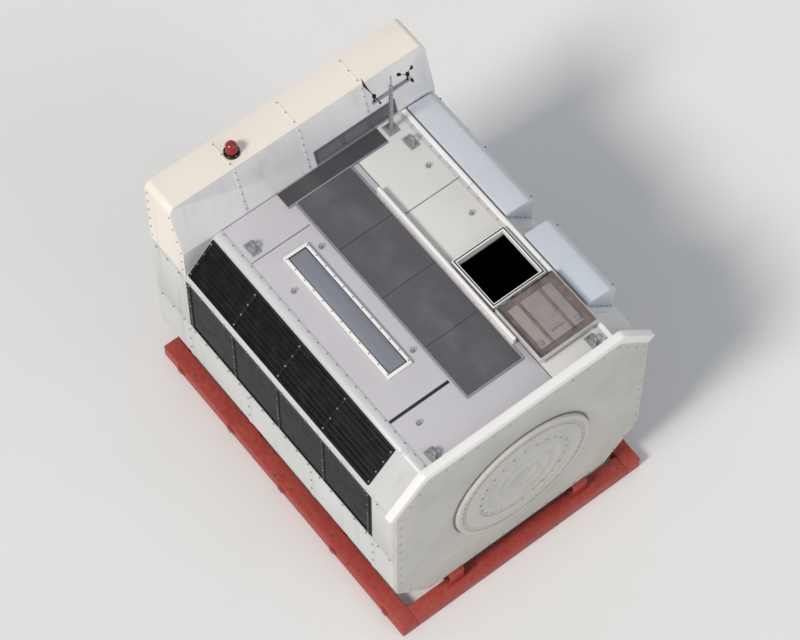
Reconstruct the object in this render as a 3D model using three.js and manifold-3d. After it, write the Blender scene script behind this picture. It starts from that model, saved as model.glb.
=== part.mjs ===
// Wind turbine nacelle on its transport frame.
// Millimetres. +Z is up, +X points to the rotor end, +Y is the left-hand side seen from the rear.
// The origin lies on the ground, under the middle of the assembly.
import * as THREE from "three";
import { mergeVertices } from "three/addons/utils/BufferGeometryUtils.js";
import Module from "manifold-3d";

// Driving dimensions of the housing
const HOUSING_REAR = -2650;
const HOUSING_FRONT = 2550;
const HALF_WIDTH = 2050;
const HALF_ROOF = 1550;
const HALF_FLOOR = 1500;
const FLOOR_Z = 560;
const BILGE_Z = 1160;
const WAIST_Z = 2080;
const EAVES_Z = 3300;
const SHOULDER_Z = 3410;
const ROOF_Z = 3960;
const SHELL = 60;
const SEAM_Y = 1430;
const FLOOR_SEAM_Y = 1380;
const LOUVRE_REAR = -1900;
const LOUVRE_FRONT = 2040;
const LOUVRE_BLADES = 11;
const LOUVRE_BLADE_DEPTH = 30;
const LOUVRE_LIP = 12;

// Gaps between pieces that touch in service
const SEAT_GAP = 0.3;
const RUNNING_GAP = 1;
// How far pieces that are one casting or weldment run into each other before they are joined
const WELD = 1;

// Transport frame
const BASE_HEIGHT = 240;
const BASE_HALF_LENGTH = 2700;
const RAIL_WIDTH = 240;
const CROSS_BEAM_X = 950;
const LONG_BEAM_TOP = 540;
const LONG_BEAM_Y = 1060;
const LONG_BEAM_HALF = 2580;
const BEAM_FLANGE = 240;
const BEAM_FLANGE_THICK = 24;
const BEAM_WEB_THICK = 18;

// Yaw ring, main frame and rotor flange
const YAW_OUTER_R = 1250;
const YAW_INNER_R = 1000;
const YAW_TOP = 700;
const ROTOR_AXIS_Z = 2200;
const FLANGE_OUTER_R = 1100;
const FLANGE_INNER_R = 750;
const FLANGE_REAR = 2240;
const FLANGE_FRONT = 2610;
const COVER_RECESS = 12;
const COVER_THICK = 90;
const PEDESTAL_HEIGHT = 220;
const CHEEK_Y = 800;
const CHEEK_THICK = 140;
const CHEEK_HEEL = [-1100, 1250];
const CHEEK_TOE = 900;
const CHEEK_BROW = [300, 1500];
const CHEEK_TOP_Z = 2900;
const CHEEK_TOP_DEPTH = 260;
const NOSE_DEPTH = 160;

// Raised rim round the front edge of the roof
const RIM_DEPTH = 120;
const RIM_HEIGHT = 140;

// Air hoods on the left shoulder
const HOOD_MARGIN = 0.05;
const HOOD_INNER_Z = 4000;
const HOOD_OUTER = [1950, 3970];
const HOOD_SIDE = [2045, 3880];
const HOOD_REAR_SPAN = [-1860, 210];
const HOOD_FRONT_SPAN = [570, 1860];

// Air grille on the right shoulder
const GRILLE_HEIGHT = 30;
const GRILLE_MARGIN = 0.08;
const GRILLE_SPAN = [-1850, 1950];
const GRILLE_BLADES = 8;
const GRILLE_BLADE_DEPTH = 14;

// Cooler across the rear of the roof
const COOLER_DEPTH = 770;
const COOLER_TOP_DEPTH = 520;
const COOLER_FOOT = 20;
const COOLER_HEIGHT = 800;
const COOLER_BEVEL = 70;
const COOLER_FRONT = HOUSING_REAR + COOLER_DEPTH;
const CORE_HALF = 1820;
const CORE_Z = [90, 700];
const CORE_DEPTH = 160;
const CORE_SETBACK = 40;
const VENT_Y = [120, 1420];
const VENT_Z = [45, 250];
const VENT_DEPTH = 170;
const VENT_SETBACK = 100;

// Air outlet on the rear wall
const OUTLET_HALF = 1150;
const OUTLET_Z = [1500, 3100];
const OUTLET_FRAME = 80;
const OUTLET_DEPTH = 50;
const OUTLET_BACK = 12;
const OUTLET_BLADES = 8;
const OUTLET_BLADE_THICK = 14;
const OUTLET_BLADE_LIFT = 18;
const OUTLET_LIP = 6;

// Weather mast
const MAST_X = COOLER_FRONT + 140;
const MAST_Y = 1210;
const MAST_R = 30;
const MAST_HEIGHT = 1050;
const MAST_ARM = 300;
const MAST_ARM_Z = 960;
const MAST_ARM_THICK = 40;
const MAST_FOOT = 180;
const MAST_FOOT_THICK = 14;
const ROD_R = 9;
const ROD_LENGTH = 250;

// Instruments on the mast's arm, measured from its top
const INSTRUMENT_INSET = 30;
const STEM_R = 12;
const HEAD_R = 26;
const HEAD_Z = [90, 150];
const CUP_R = 32;
const CUP_REACH = 110;
const CUP_Z = 124;
const SPOKE_HALF = 5;
const VANE_NOSE = [-60, 150];
const VANE_TAIL = [[-40, 124], [-230, 60], [-270, 210], [-150, 150]];
const VANE_HALF = 8;
const TAIL_HALF = 4;

// Warning light
const LAMP_X = HOUSING_REAR + 320;
const LAMP_Y = -900;
const LAMP_OUTLINE = [[0, 0], [110, 0], [110, 40], [80, 50], [80, 190], [60, 220], [0, 232]];

// Roof fittings
const WALKWAY_HALF = 460;
const WALKWAY_REAR = -1600;
const WALKWAY_FRONT = 1960;
const WALKWAY_THICK = 18;
const CROSSING_SIDE = [-560, 1060];
const LANE_Y = 560;
const KERB_WIDTH = 60;
const KERB_HEIGHT = 150;
const KERB_CHAMFER = 20;
const KERB_SPAN = [-1080, 1720];
const SKYLIGHT_SPAN = [-1050, 1150];
const SKYLIGHT_SIDE = [-1080, -700];
const SKYLIGHT_FRAME = 45;
const SKYLIGHT_HEIGHT = 60;
const PANE_RECESS = 15;

// Lifting lugs on the roof
const LUG_X = [-1420, 2310];
const LUG_Y = [1290, -1290];
const LUG_FOOT = 210;
const LUG_BASE = 20;
const LUG_WIDTH = 150;
const LUG_THICK = 30;
const LUG_EYE_Z = 100;
const LUG_EYE_R = 32;
const LUG_EYE_OUTER = 62;

// Roof hatch
const HATCH_X = 760;
const HATCH_Y = 1000;
const HATCH_CLEAR = 760;
const COAMING_WALL = 50;
const COAMING_HEIGHT = 95;
const COAMING_HALF = HATCH_CLEAR / 2 + COAMING_WALL;
const LID_THICK = 60;
const LID_LIFT = 100;
const LID_RIM = 22;
const LID_RIM_DROP = 55;
const LID_CLEARANCE = 10;
const LID_HALF = COAMING_HALF + LID_CLEARANCE + LID_RIM;
const HINGE_REACH = COAMING_HALF + 45;
const HINGE_LIFT = LID_LIFT + LID_THICK / 2;
const HINGE_R = 20;
const HINGE_Y = 260;
const BARREL_LENGTH = 70;
const HINGE_ARM = 10;
const HINGE_PLATE = 8;
const HINGE_PLATE_HALF = 360;
const HINGE_PLATE_Z = [20, 85];
const HINGE_ARM_ROOT_Z = [25, 60];
const HINGE_ARM_KNEE_Z = [50, 70];
const LID_EDGE = 26;
const REST_WIDTH = 90;
const REST_INSET = 120;
const REST_HALF = 380;

const wasm = await Module();
wasm.setup();

// Colours, with roughness and metalness
function paint(name, color, roughness, metalness = 0) {
  return new THREE.MeshStandardMaterial({ name, color, roughness, metalness });
}
const hullWhite = () => paint("hull_white", 0xd6d6d2, 0.45);
const coolerCream = () => paint("cooler_cream", 0xe6dccf, 0.5);
const frameRed = () => paint("frame_red", 0x9a2a24, 0.5);
const walkwayGrey = () => paint("walkway_grey", 0x55525a, 0.95);
const louvreBlack = () => paint("louvre_black", 0x17191d, 0.7);
const castGrey = () => paint("cast_grey", 0x8f9294, 0.55, 0.3);
const endGrey = () => paint("end_grey", 0xaaa8a0, 0.55);
const steel = () => paint("galvanised_steel", 0xa7abae, 0.4, 0.8);
const lidLining = () => paint("lid_lining", 0x8c8582, 0.8);
const rubber = () => paint("rubber", 0x1c1c1c, 0.9);
const lampRed = () => paint("lamp_red", 0xa01c18, 0.2);
const roofGlass = () => paint("roof_glass", 0x7f8c99, 0.15);

// A closed mesh as a solid that can be joined and cut
function toSolid(geometry) {
  const bare = geometry.clone();
  bare.deleteAttribute("normal");
  bare.deleteAttribute("uv");
  const merged = mergeVertices(bare, 1e-3);
  return new wasm.Manifold(
    new wasm.Mesh({
      numProp: 3,
      vertProperties: merged.attributes.position.array,
      triVerts: new Uint32Array(merged.index.array),
    }),
  );
}

// The solid as a mesh again
function toGeometry(solid) {
  const mesh = solid.getMesh();
  const geometry = new THREE.BufferGeometry();
  geometry.setAttribute("position", new THREE.BufferAttribute(mesh.vertProperties, 3));
  geometry.setIndex(new THREE.BufferAttribute(mesh.triVerts, 1));
  geometry.computeVertexNormals();
  return geometry;
}

const join = (...pieces) => toGeometry(pieces.map(toSolid).reduce((a, b) => a.add(b)));
const cut = (piece, ...tools) =>
  toGeometry(tools.map(toSolid).reduce((a, b) => a.subtract(b), toSolid(piece)));

// Simple solids, given by their limits along X, Y and Z
function slab([x0, x1], [y0, y1], [z0, z1]) {
  const geometry = new THREE.BoxGeometry(x1 - x0, y1 - y0, z1 - z0);
  return geometry.translate((x0 + x1) / 2, (y0 + y1) / 2, (z0 + z1) / 2);
}

const X = new THREE.Vector3(1, 0, 0);
const Y = new THREE.Vector3(0, 1, 0);
const Z = new THREE.Vector3(0, 0, 1);

function outline(points) {
  if (points instanceof THREE.Shape) return points;
  return new THREE.Shape(points.map(([a, b]) => new THREE.Vector2(a, b)));
}

function prism(points, depth, curveSegments = 16) {
  return new THREE.ExtrudeGeometry(outline(points), { depth, bevelEnabled: false, curveSegments });
}

// An outline in (y, z) carried along X
function prismX(points, [x0, x1], curveSegments) {
  const geometry = prism(points, x1 - x0, curveSegments);
  return geometry.applyMatrix4(new THREE.Matrix4().makeBasis(Y, Z, X)).translate(x0, 0, 0);
}

// An outline in (x, z) carried along Y
function prismY(points, [y0, y1], curveSegments) {
  const geometry = prism(points, y1 - y0, curveSegments);
  const turn = new THREE.Matrix4().makeBasis(X, Z, Y.clone().negate());
  return geometry.applyMatrix4(turn).translate(0, y1, 0);
}

// An outline in (x, y) carried along Z
function prismZ(points, [z0, z1], curveSegments) {
  return prism(points, z1 - z0, curveSegments).translate(0, 0, z0);
}

// Round bars along Y and along Z
function barY(radius, [y0, y1], x, z, sides = 16) {
  const geometry = new THREE.CylinderGeometry(radius, radius, y1 - y0, sides);
  return geometry.translate(x, (y0 + y1) / 2, z);
}

function barZ(radius, [z0, z1], x, y, sides = 16) {
  const geometry = new THREE.CylinderGeometry(radius, radius, z1 - z0, sides).rotateX(Math.PI / 2);
  return geometry.translate(x, y, (z0 + z1) / 2);
}

function disc(radius, centreY = 0, centreZ = 0) {
  const shape = new THREE.Shape();
  shape.absarc(centreY, centreZ, radius, 0, 2 * Math.PI);
  return shape;
}

function annulus(outer, inner, centreY = 0, centreZ = 0) {
  const shape = disc(outer, centreY, centreZ);
  shape.holes.push(disc(inner, centreY, centreZ));
  return shape;
}

// The strip between two parallel copies of an open path, near and far to the left of it
function strip(path, near, far) {
  const shifted = (distance) =>
    path.map((point, i) => {
      const before = path[Math.max(i - 1, 0)];
      const after = path[Math.min(i + 1, path.length - 1)];
      const normals = [
        [before, point],
        [point, after],
      ]
        .filter(([a, b]) => a !== b)
        .map(([a, b]) => {
          const length = Math.hypot(b[0] - a[0], b[1] - a[1]);
          return [(a[1] - b[1]) / length, (b[0] - a[0]) / length];
        });
      const [n, m] = [normals[0], normals[normals.length - 1]];
      const scale = distance / (1 + n[0] * m[0] + n[1] * m[1]);
      return [point[0] + (n[0] + m[0]) * scale, point[1] + (n[1] + m[1]) * scale];
    });
  return [...shifted(near), ...shifted(far).reverse()];
}

const mirrorY = (points) => points.map(([y, z]) => [-y, z]).reverse();

function add(parent, name, material, geometry, place = [0, 0, 0]) {
  const mesh = new THREE.Mesh(geometry, material);
  mesh.name = name;
  mesh.position.set(...place);
  parent.add(mesh);
  return mesh;
}

// A rolled H beam's section, standing on z = 0
function beamSection(height) {
  const f = BEAM_FLANGE / 2;
  const w = BEAM_WEB_THICK / 2;
  const t = BEAM_FLANGE_THICK;
  const right = [[f, 0], [f, t], [w, t], [w, height - t], [f, height - t], [f, height]];
  return [...right, ...right.map(([a, b]) => [-a, b]).reverse()];
}

// Transport frame: box rails all round, two H beams across, and two along on top of them
function transportFrame() {
  const group = new THREE.Group();
  const railInner = HALF_WIDTH - RAIL_WIDTH;
  const endMiddle = BASE_HALF_LENGTH - RAIL_WIDTH / 2;
  const height = [0, BASE_HEIGHT];
  const endBeam = () => slab([-RAIL_WIDTH / 2, RAIL_WIDTH / 2], [-railInner, railInner], height);
  const length = [-BASE_HALF_LENGTH, BASE_HALF_LENGTH];
  const sideRail = () => slab(length, [-RAIL_WIDTH / 2, RAIL_WIDTH / 2], height);
  for (const [end, way] of [["rear", -1], ["front", 1]]) {
    add(group, `end_beam_${end}`, frameRed(), endBeam(), [way * endMiddle, 0, 0]);
    const crossBeam = prismY(beamSection(BASE_HEIGHT), [-railInner, railInner]);
    add(group, `cross_beam_${end}`, frameRed(), crossBeam, [way * CROSS_BEAM_X, 0, 0]);
  }
  for (const [side, way] of [["left", 1], ["right", -1]]) {
    const railY = way * (HALF_WIDTH - RAIL_WIDTH / 2);
    add(group, `side_rail_${side}`, frameRed(), sideRail(), [0, railY, 0]);
    const section = beamSection(LONG_BEAM_TOP - BASE_HEIGHT);
    const longBeam = prismX(section, [-LONG_BEAM_HALF, LONG_BEAM_HALF]);
    add(group, `long_beam_${side}`, frameRed(), longBeam, [0, way * LONG_BEAM_Y, BASE_HEIGHT]);
  }
  return group;
}

// Yaw ring, cast main frame, rotor flange and its cover
function drivetrainMounts() {
  const group = new THREE.Group();
  const ring = prismZ(annulus(YAW_OUTER_R, YAW_INNER_R), [LONG_BEAM_TOP, YAW_TOP], 24);
  add(group, "yaw_ring", castGrey(), ring);

  const pedestalTop = YAW_TOP + PEDESTAL_HEIGHT;
  const pedestalOuter = YAW_OUTER_R - 20;
  const pedestal = prismZ(annulus(pedestalOuter, YAW_INNER_R), [YAW_TOP, pedestalTop], 16);
  const cheekOutline = [
    [CHEEK_HEEL[0], pedestalTop - WELD],
    [CHEEK_TOE, pedestalTop - WELD],
    [FLANGE_REAR, CHEEK_BROW[1]],
    [FLANGE_REAR, CHEEK_TOP_Z],
    [FLANGE_REAR - CHEEK_TOP_DEPTH, CHEEK_TOP_Z],
    CHEEK_BROW,
    CHEEK_HEEL,
  ];
  const cheeks = [-CHEEK_Y, CHEEK_Y].map((y) =>
    prismY(cheekOutline, [y - CHEEK_THICK / 2, y + CHEEK_THICK / 2]),
  );
  const collar = annulus(FLANGE_OUTER_R, FLANGE_INNER_R, 0, ROTOR_AXIS_Z);
  const nose = prismX(collar, [FLANGE_REAR - NOSE_DEPTH, FLANGE_REAR], 12);
  add(group, "main_frame", castGrey(), join(pedestal, ...cheeks, nose));

  const flange = prismX(annulus(FLANGE_OUTER_R, FLANGE_INNER_R), [FLANGE_REAR, FLANGE_FRONT], 24);
  add(group, "rotor_flange", castGrey(), flange, [0, 0, ROTOR_AXIS_Z]);
  const coverFront = FLANGE_FRONT - COVER_RECESS;
  const cover = prismX(disc(FLANGE_INNER_R - 2 * SEAT_GAP), [coverFront - COVER_THICK, coverFront], 24);
  add(group, "flange_cover", endGrey(), cover, [0, 0, ROTOR_AXIS_Z]);
  return group;
}

// Housing shell
const OCTAGON = [
  [HALF_FLOOR, FLOOR_Z],
  [HALF_WIDTH, BILGE_Z],
  [HALF_WIDTH, SHOULDER_Z],
  [HALF_ROOF, ROOF_Z],
];
const WALL_SPAN = [HOUSING_REAR + SHELL, HOUSING_FRONT - SHELL];

// The section of a louvre whose face runs up from low to high, with its back to the left.
// Each blade slopes in as it rises, up to the lip of the next.
function louvreSection(low, high, thick, blades, bladeDepth) {
  const length = Math.hypot(high[0] - low[0], high[1] - low[1]);
  const [u, v] = [(high[0] - low[0]) / length, (high[1] - low[1]) / length];
  const at = (up, inwards) => [low[0] + u * up - v * inwards, low[1] + v * up + u * inwards];
  const pitch = length / blades;
  const steps = Array.from({ length: blades }, (_, i) => {
    const head = (i + 1) * pitch - LOUVRE_LIP;
    return [at(i * pitch, 0), at(head, bladeDepth), at(head, 0)];
  }).flat();
  return [at(0, thick), ...steps, at(length, 0), at(length, thick)];
}

// The sloping line of the left shoulder, shortened by a share at each end
function shoulderLine(margin) {
  const [low, high] = [[HALF_WIDTH, SHOULDER_Z], [HALF_ROOF, ROOF_Z]];
  const along = (share) => low.map((value, i) => value + (high[i] - value) * share);
  return [along(margin), along(1 - margin)];
}

function housing() {
  const group = new THREE.Group();
  const [x0, x1] = WALL_SPAN;

  const seam = FLOOR_SEAM_Y;
  const floor = outline([[x0, -seam], [x1, -seam], [x1, seam], [x0, seam]]);
  floor.holes.push(disc(YAW_OUTER_R + 2 * SEAT_GAP));
  add(group, "floor", hullWhite(), prismZ(floor, [FLOOR_Z, FLOOR_Z + SHELL], 24));

  const lower = strip(
    [[seam, FLOOR_Z], [HALF_FLOOR, FLOOR_Z], [HALF_WIDTH, BILGE_Z], [HALF_WIDTH, WAIST_Z]],
    0,
    SHELL,
  ).reverse();
  const shoulder = strip(
    [[HALF_WIDTH, EAVES_Z], [HALF_WIDTH, SHOULDER_Z], [HALF_ROOF, ROOF_Z], [SEAM_Y, ROOF_Z]],
    0,
    SHELL,
  ).reverse();
  const inner = HALF_WIDTH - SHELL;
  const [waist, eaves] = [[HALF_WIDTH, WAIST_Z], [HALF_WIDTH, EAVES_Z]];
  const wall = [[inner, WAIST_Z], waist, eaves, [inner, EAVES_Z]];
  const blades = louvreSection(waist, eaves, SHELL, LOUVRE_BLADES, LOUVRE_BLADE_DEPTH);
  for (const [side, turn] of [["left", (p) => p], ["right", mirrorY]]) {
    add(group, `lower_hull_${side}`, hullWhite(), prismX(turn(lower), WALL_SPAN));
    add(group, `side_wall_${side}_rear`, hullWhite(), prismX(turn(wall), [x0, LOUVRE_REAR]));
    add(group, `side_wall_${side}_front`, hullWhite(), prismX(turn(wall), [LOUVRE_FRONT, x1]));
    const louvre = prismX(turn(blades), [LOUVRE_REAR, LOUVRE_FRONT]);
    add(group, `louvre_${side}`, louvreBlack(), louvre);
    add(group, `shoulder_${side}`, hullWhite(), prismX(turn(shoulder), WALL_SPAN));
  }

  const octagon = [...OCTAGON, ...mirrorY(OCTAGON)];
  add(group, "rear_wall", hullWhite(), prismX(octagon, [HOUSING_REAR, x0]));
  const front = outline(octagon);
  front.holes.push(disc(FLANGE_OUTER_R + 2 * SEAT_GAP, 0, ROTOR_AXIS_Z));
  add(group, "front_wall", endGrey(), prismX(front, [x1, HOUSING_FRONT], 24));

  const half = [[HALF_WIDTH, SHOULDER_Z], [HALF_ROOF, ROOF_Z]];
  const rim = strip([...half, ...mirrorY(half)], -SEAT_GAP, -RIM_HEIGHT);
  add(group, "front_rim", hullWhite(), prismX(rim, [HOUSING_FRONT - RIM_DEPTH, HOUSING_FRONT]));

  const [low, high] = strip(shoulderLine(HOOD_MARGIN), -SEAT_GAP, 0);
  const hood = [low, HOOD_SIDE, HOOD_OUTER, [high[0], HOOD_INNER_Z], high];
  add(group, "shoulder_hood_rear", hullWhite(), prismX(hood, HOOD_REAR_SPAN));
  add(group, "shoulder_hood_front", hullWhite(), prismX(hood, HOOD_FRONT_SPAN));

  const [foot, head] = strip(shoulderLine(GRILLE_MARGIN), -GRILLE_HEIGHT, 0);
  const thick = GRILLE_HEIGHT - SEAT_GAP;
  const grille = louvreSection(foot, head, thick, GRILLE_BLADES, GRILLE_BLADE_DEPTH);
  add(group, "shoulder_grille", louvreBlack(), prismX(mirrorY(grille), GRILLE_SPAN));
  return group;
}

// Flat roof, in panels round the hatch
function roof() {
  const group = new THREE.Group();
  const [x0, x1] = WALL_SPAN;
  const level = [ROOF_Z - SHELL, ROOF_Z];
  const hatchRear = HATCH_X - HATCH_CLEAR / 2;
  const hatchFront = HATCH_X + HATCH_CLEAR / 2;
  add(group, "roof_panel_main", hullWhite(), slab([x0, x1], [-SEAM_Y, LANE_Y], level));
  add(group, "roof_panel_rear", hullWhite(), slab([x0, hatchRear], [LANE_Y, SEAM_Y], level));
  add(group, "roof_panel_front", hullWhite(), slab([hatchFront, x1], [LANE_Y, SEAM_Y], level));
  return group;
}

// Grating, kerb and roof light beside it
function roofFittings() {
  const group = new THREE.Group();
  const deck = [ROOF_Z, ROOF_Z + WALKWAY_THICK];
  const walkway = slab([WALKWAY_REAR, WALKWAY_FRONT], [-WALKWAY_HALF, WALKWAY_HALF], deck);
  add(group, "walkway", walkwayGrey(), walkway);
  const crossing = slab([COOLER_FRONT, WALKWAY_REAR], CROSSING_SIDE, deck);
  add(group, "cross_walkway", walkwayGrey(), crossing);

  const kerb = [
    [KERB_WIDTH, 0],
    [KERB_WIDTH, KERB_HEIGHT - KERB_CHAMFER],
    [KERB_WIDTH - KERB_CHAMFER, KERB_HEIGHT],
    [0, KERB_HEIGHT],
    [0, 0],
  ];
  add(group, "walkway_kerb", hullWhite(), prismX(kerb, KERB_SPAN), [0, WALKWAY_HALF, ROOF_Z]);

  const [x0, x1] = SKYLIGHT_SPAN;
  const [y0, y1] = SKYLIGHT_SIDE;
  const pane = [[x0, x1], [y0, y1]].map(([a, b]) => [a + SKYLIGHT_FRAME, b - SKYLIGHT_FRAME]);
  const frame = cut(
    slab([x0, x1], [y0, y1], [ROOF_Z, ROOF_Z + SKYLIGHT_HEIGHT]),
    slab(...pane, [ROOF_Z - 1, ROOF_Z + SKYLIGHT_HEIGHT + 1]),
  );
  add(group, "skylight_frame", hullWhite(), frame);
  const glass = pane.map(([a, b]) => [a + SEAT_GAP, b - SEAT_GAP]);
  const paneTop = ROOF_Z + SKYLIGHT_HEIGHT - PANE_RECESS;
  add(group, "skylight_pane", roofGlass(), slab(...glass, [ROOF_Z, paneTop]));

  for (const [i, end] of ["rear", "front"].entries()) {
    for (const [j, side] of ["left", "right"].entries()) {
      add(group, `lifting_lug_${side}_${end}`, steel(), liftingLug(), [LUG_X[i], LUG_Y[j], ROOF_Z]);
    }
  }
  return group;
}

function liftingLug() {
  const eye = new THREE.Shape();
  eye.moveTo(-LUG_WIDTH / 2, LUG_BASE);
  eye.lineTo(LUG_WIDTH / 2, LUG_BASE);
  eye.absarc(0, LUG_EYE_Z, LUG_EYE_OUTER, 0, Math.PI);
  eye.holes.push(disc(LUG_EYE_R, 0, LUG_EYE_Z));
  const ear = prismY(eye, [-LUG_THICK / 2, LUG_THICK / 2], 10);
  const base = slab([-LUG_FOOT / 2, LUG_FOOT / 2], [-LUG_FOOT / 3, LUG_FOOT / 3], [0, LUG_BASE]);
  return join(base, ear);
}

// Open hatch: coaming, hinge, lid and the rest that it lies on
function hatch() {
  const group = new THREE.Group();
  group.position.set(HATCH_X, HATCH_Y, ROOF_Z);
  const outer = [-COAMING_HALF, COAMING_HALF];
  const clear = [-HATCH_CLEAR / 2, HATCH_CLEAR / 2];
  const through = [-1, COAMING_HEIGHT + 1];
  const coaming = cut(slab(outer, outer, [0, COAMING_HEIGHT]), slab(clear, clear, through));
  add(group, "hatch_coaming", hullWhite(), coaming);
  add(group, "hatch_hinge", steel(), fixedHinge());

  const lid = new THREE.Group();
  lid.position.set(HINGE_REACH, 0, HINGE_LIFT);
  lid.rotation.y = Math.PI;
  add(lid, "roof_hatch_lid", lidLining(), lidShape());
  group.add(lid);

  const restX = 2 * HINGE_REACH + LID_HALF - REST_INSET;
  const restWidth = [-REST_WIDTH / 2, REST_WIDTH / 2];
  const rest = slab(restWidth, [-REST_HALF, REST_HALF], [0, LID_LIFT - SEAT_GAP]);
  add(group, "lid_rest", rubber(), rest, [restX, 0, 0]);
  return group;
}

// Barrels and arms screwed to the front of the coaming
function fixedHinge() {
  const wall = COAMING_HALF;
  const plateWidth = [-HINGE_PLATE_HALF, HINGE_PLATE_HALF];
  const plate = slab([wall, wall + HINGE_PLATE], plateWidth, HINGE_PLATE_Z);
  const [rootLow, rootHigh] = HINGE_ARM_ROOT_Z;
  const [kneeLow, kneeHigh] = HINGE_ARM_KNEE_Z;
  const arm = [
    [wall + WELD, rootLow],
    [HINGE_REACH - HINGE_ARM / 2, rootLow],
    [HINGE_REACH + HINGE_ARM, kneeLow],
    [HINGE_REACH + HINGE_ARM, HINGE_LIFT],
    [HINGE_REACH - HINGE_ARM, HINGE_LIFT],
    [HINGE_REACH - HINGE_ARM, kneeHigh],
    [wall + WELD, rootHigh],
  ];
  const pieces = [-1, 1].flatMap((side) => {
    const near = side * (HINGE_Y + RUNNING_GAP);
    const far = side * (HINGE_Y + BARREL_LENGTH);
    const limits = [Math.min(near, far), Math.max(near, far)];
    return [prismY(arm, limits), barY(HINGE_R, limits, HINGE_REACH, HINGE_LIFT)];
  });
  return join(plate, ...pieces);
}

// The lid about its hinge axis, drawn shut: it reaches to -X and its rim hangs down
function lidShape() {
  const near = -LID_EDGE;
  const far = -HINGE_REACH - LID_HALF;
  const half = LID_THICK / 2;
  const plate = slab([far, near], [-LID_HALF, LID_HALF], [-half, half]);
  const drop = [-half - LID_RIM_DROP, -half + WELD];
  const rims = [
    slab([far, far + LID_RIM], [-LID_HALF, LID_HALF], drop),
    slab([far, near], [-LID_HALF, LID_RIM - LID_HALF], drop),
    slab([far, near], [LID_HALF - LID_RIM, LID_HALF], drop),
  ];
  const knuckles = [-1, 1].flatMap((side) => {
    const ends = [side * HINGE_Y, side * (HINGE_Y - BARREL_LENGTH)].sort((a, b) => a - b);
    return [barY(HINGE_R, ends, 0, 0), slab([near - WELD, 0], ends, [-HINGE_ARM, HINGE_ARM])];
  });
  return join(plate, ...rims, ...knuckles);
}

// Cooler: a deep bar over the whole width with a leaning front. The core lies in its rear face,
// and a vent is at the foot of its front.
function cooler() {
  const group = new THREE.Group();
  const top = ROOF_Z + COOLER_HEIGHT;
  const profile = [
    [HALF_ROOF + 3 * SEAT_GAP, ROOF_Z],
    [HALF_WIDTH, SHOULDER_Z + 3 * SEAT_GAP],
    [HALF_WIDTH, top - COOLER_BEVEL],
    [HALF_WIDTH - COOLER_BEVEL, top],
  ];
  const body = prismX([...profile, ...mirrorY(profile)], [HOUSING_REAR, COOLER_FRONT]);
  const core = [[-CORE_HALF, CORE_HALF], [ROOF_Z + CORE_Z[0], ROOF_Z + CORE_Z[1]]];
  const vent = [VENT_Y, [ROOF_Z + VENT_Z[0], ROOF_Z + VENT_Z[1]]];
  const topFront = HOUSING_REAR + COOLER_TOP_DEPTH;
  const lean = [
    [topFront, top],
    [COOLER_FRONT, ROOF_Z + COOLER_FOOT],
    [COOLER_FRONT + 1, ROOF_Z + COOLER_FOOT],
    [COOLER_FRONT + 1, top + 1],
    [topFront, top + 1],
  ];
  const recessed = cut(
    body,
    prismY(lean, [-HALF_WIDTH - 1, HALF_WIDTH + 1]),
    slab([HOUSING_REAR - 1, HOUSING_REAR + CORE_DEPTH], ...core),
    slab([COOLER_FRONT - VENT_DEPTH, COOLER_FRONT + 1], ...vent),
  );
  add(group, "cooler_housing", coolerCream(), recessed);
  const inset = (limits) => limits.map(([a, b]) => [a + SEAT_GAP, b - SEAT_GAP]);
  const coreX = [HOUSING_REAR + CORE_SETBACK, HOUSING_REAR + CORE_DEPTH];
  add(group, "cooler_core", louvreBlack(), slab(coreX, ...inset(core)));
  const ventX = [COOLER_FRONT - VENT_DEPTH, COOLER_FRONT - VENT_SETBACK];
  add(group, "cooler_vent", louvreBlack(), slab(ventX, ...inset(vent)));
  return group;
}

// Air outlet on the rear wall
function rearOutlet() {
  const frame = [HOUSING_REAR - OUTLET_DEPTH, HOUSING_REAR];
  const opening = [HOUSING_REAR - OUTLET_DEPTH - 1, HOUSING_REAR - OUTLET_BACK];
  const [y, z] = [OUTLET_HALF, OUTLET_Z];
  const inner = OUTLET_FRAME;
  const tray = cut(
    slab(frame, [-y, y], z),
    slab(opening, [inner - y, y - inner], [z[0] + inner, z[1] - inner]),
  );
  const pitch = (z[1] - z[0] - 2 * inner) / OUTLET_BLADES;
  const back = HOUSING_REAR - OUTLET_BACK + WELD;
  const lip = HOUSING_REAR - OUTLET_DEPTH + OUTLET_LIP;
  const blades = Array.from({ length: OUTLET_BLADES }, (_, i) => {
    const lipLow = z[0] + inner + i * pitch + OUTLET_BLADE_LIFT;
    const backHigh = z[0] + inner + (i + 1) * pitch - OUTLET_BLADE_THICK;
    const backLow = backHigh - OUTLET_BLADE_THICK;
    const lipHigh = lipLow + OUTLET_BLADE_THICK;
    const blade = [[back, backLow], [lip, lipLow], [lip, lipHigh], [back, backHigh]];
    return prismY(blade, [inner - y - WELD, y - inner + WELD]);
  });
  const group = new THREE.Group();
  add(group, "rear_outlet", louvreBlack(), join(tray, ...blades));
  return group;
}

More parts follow.
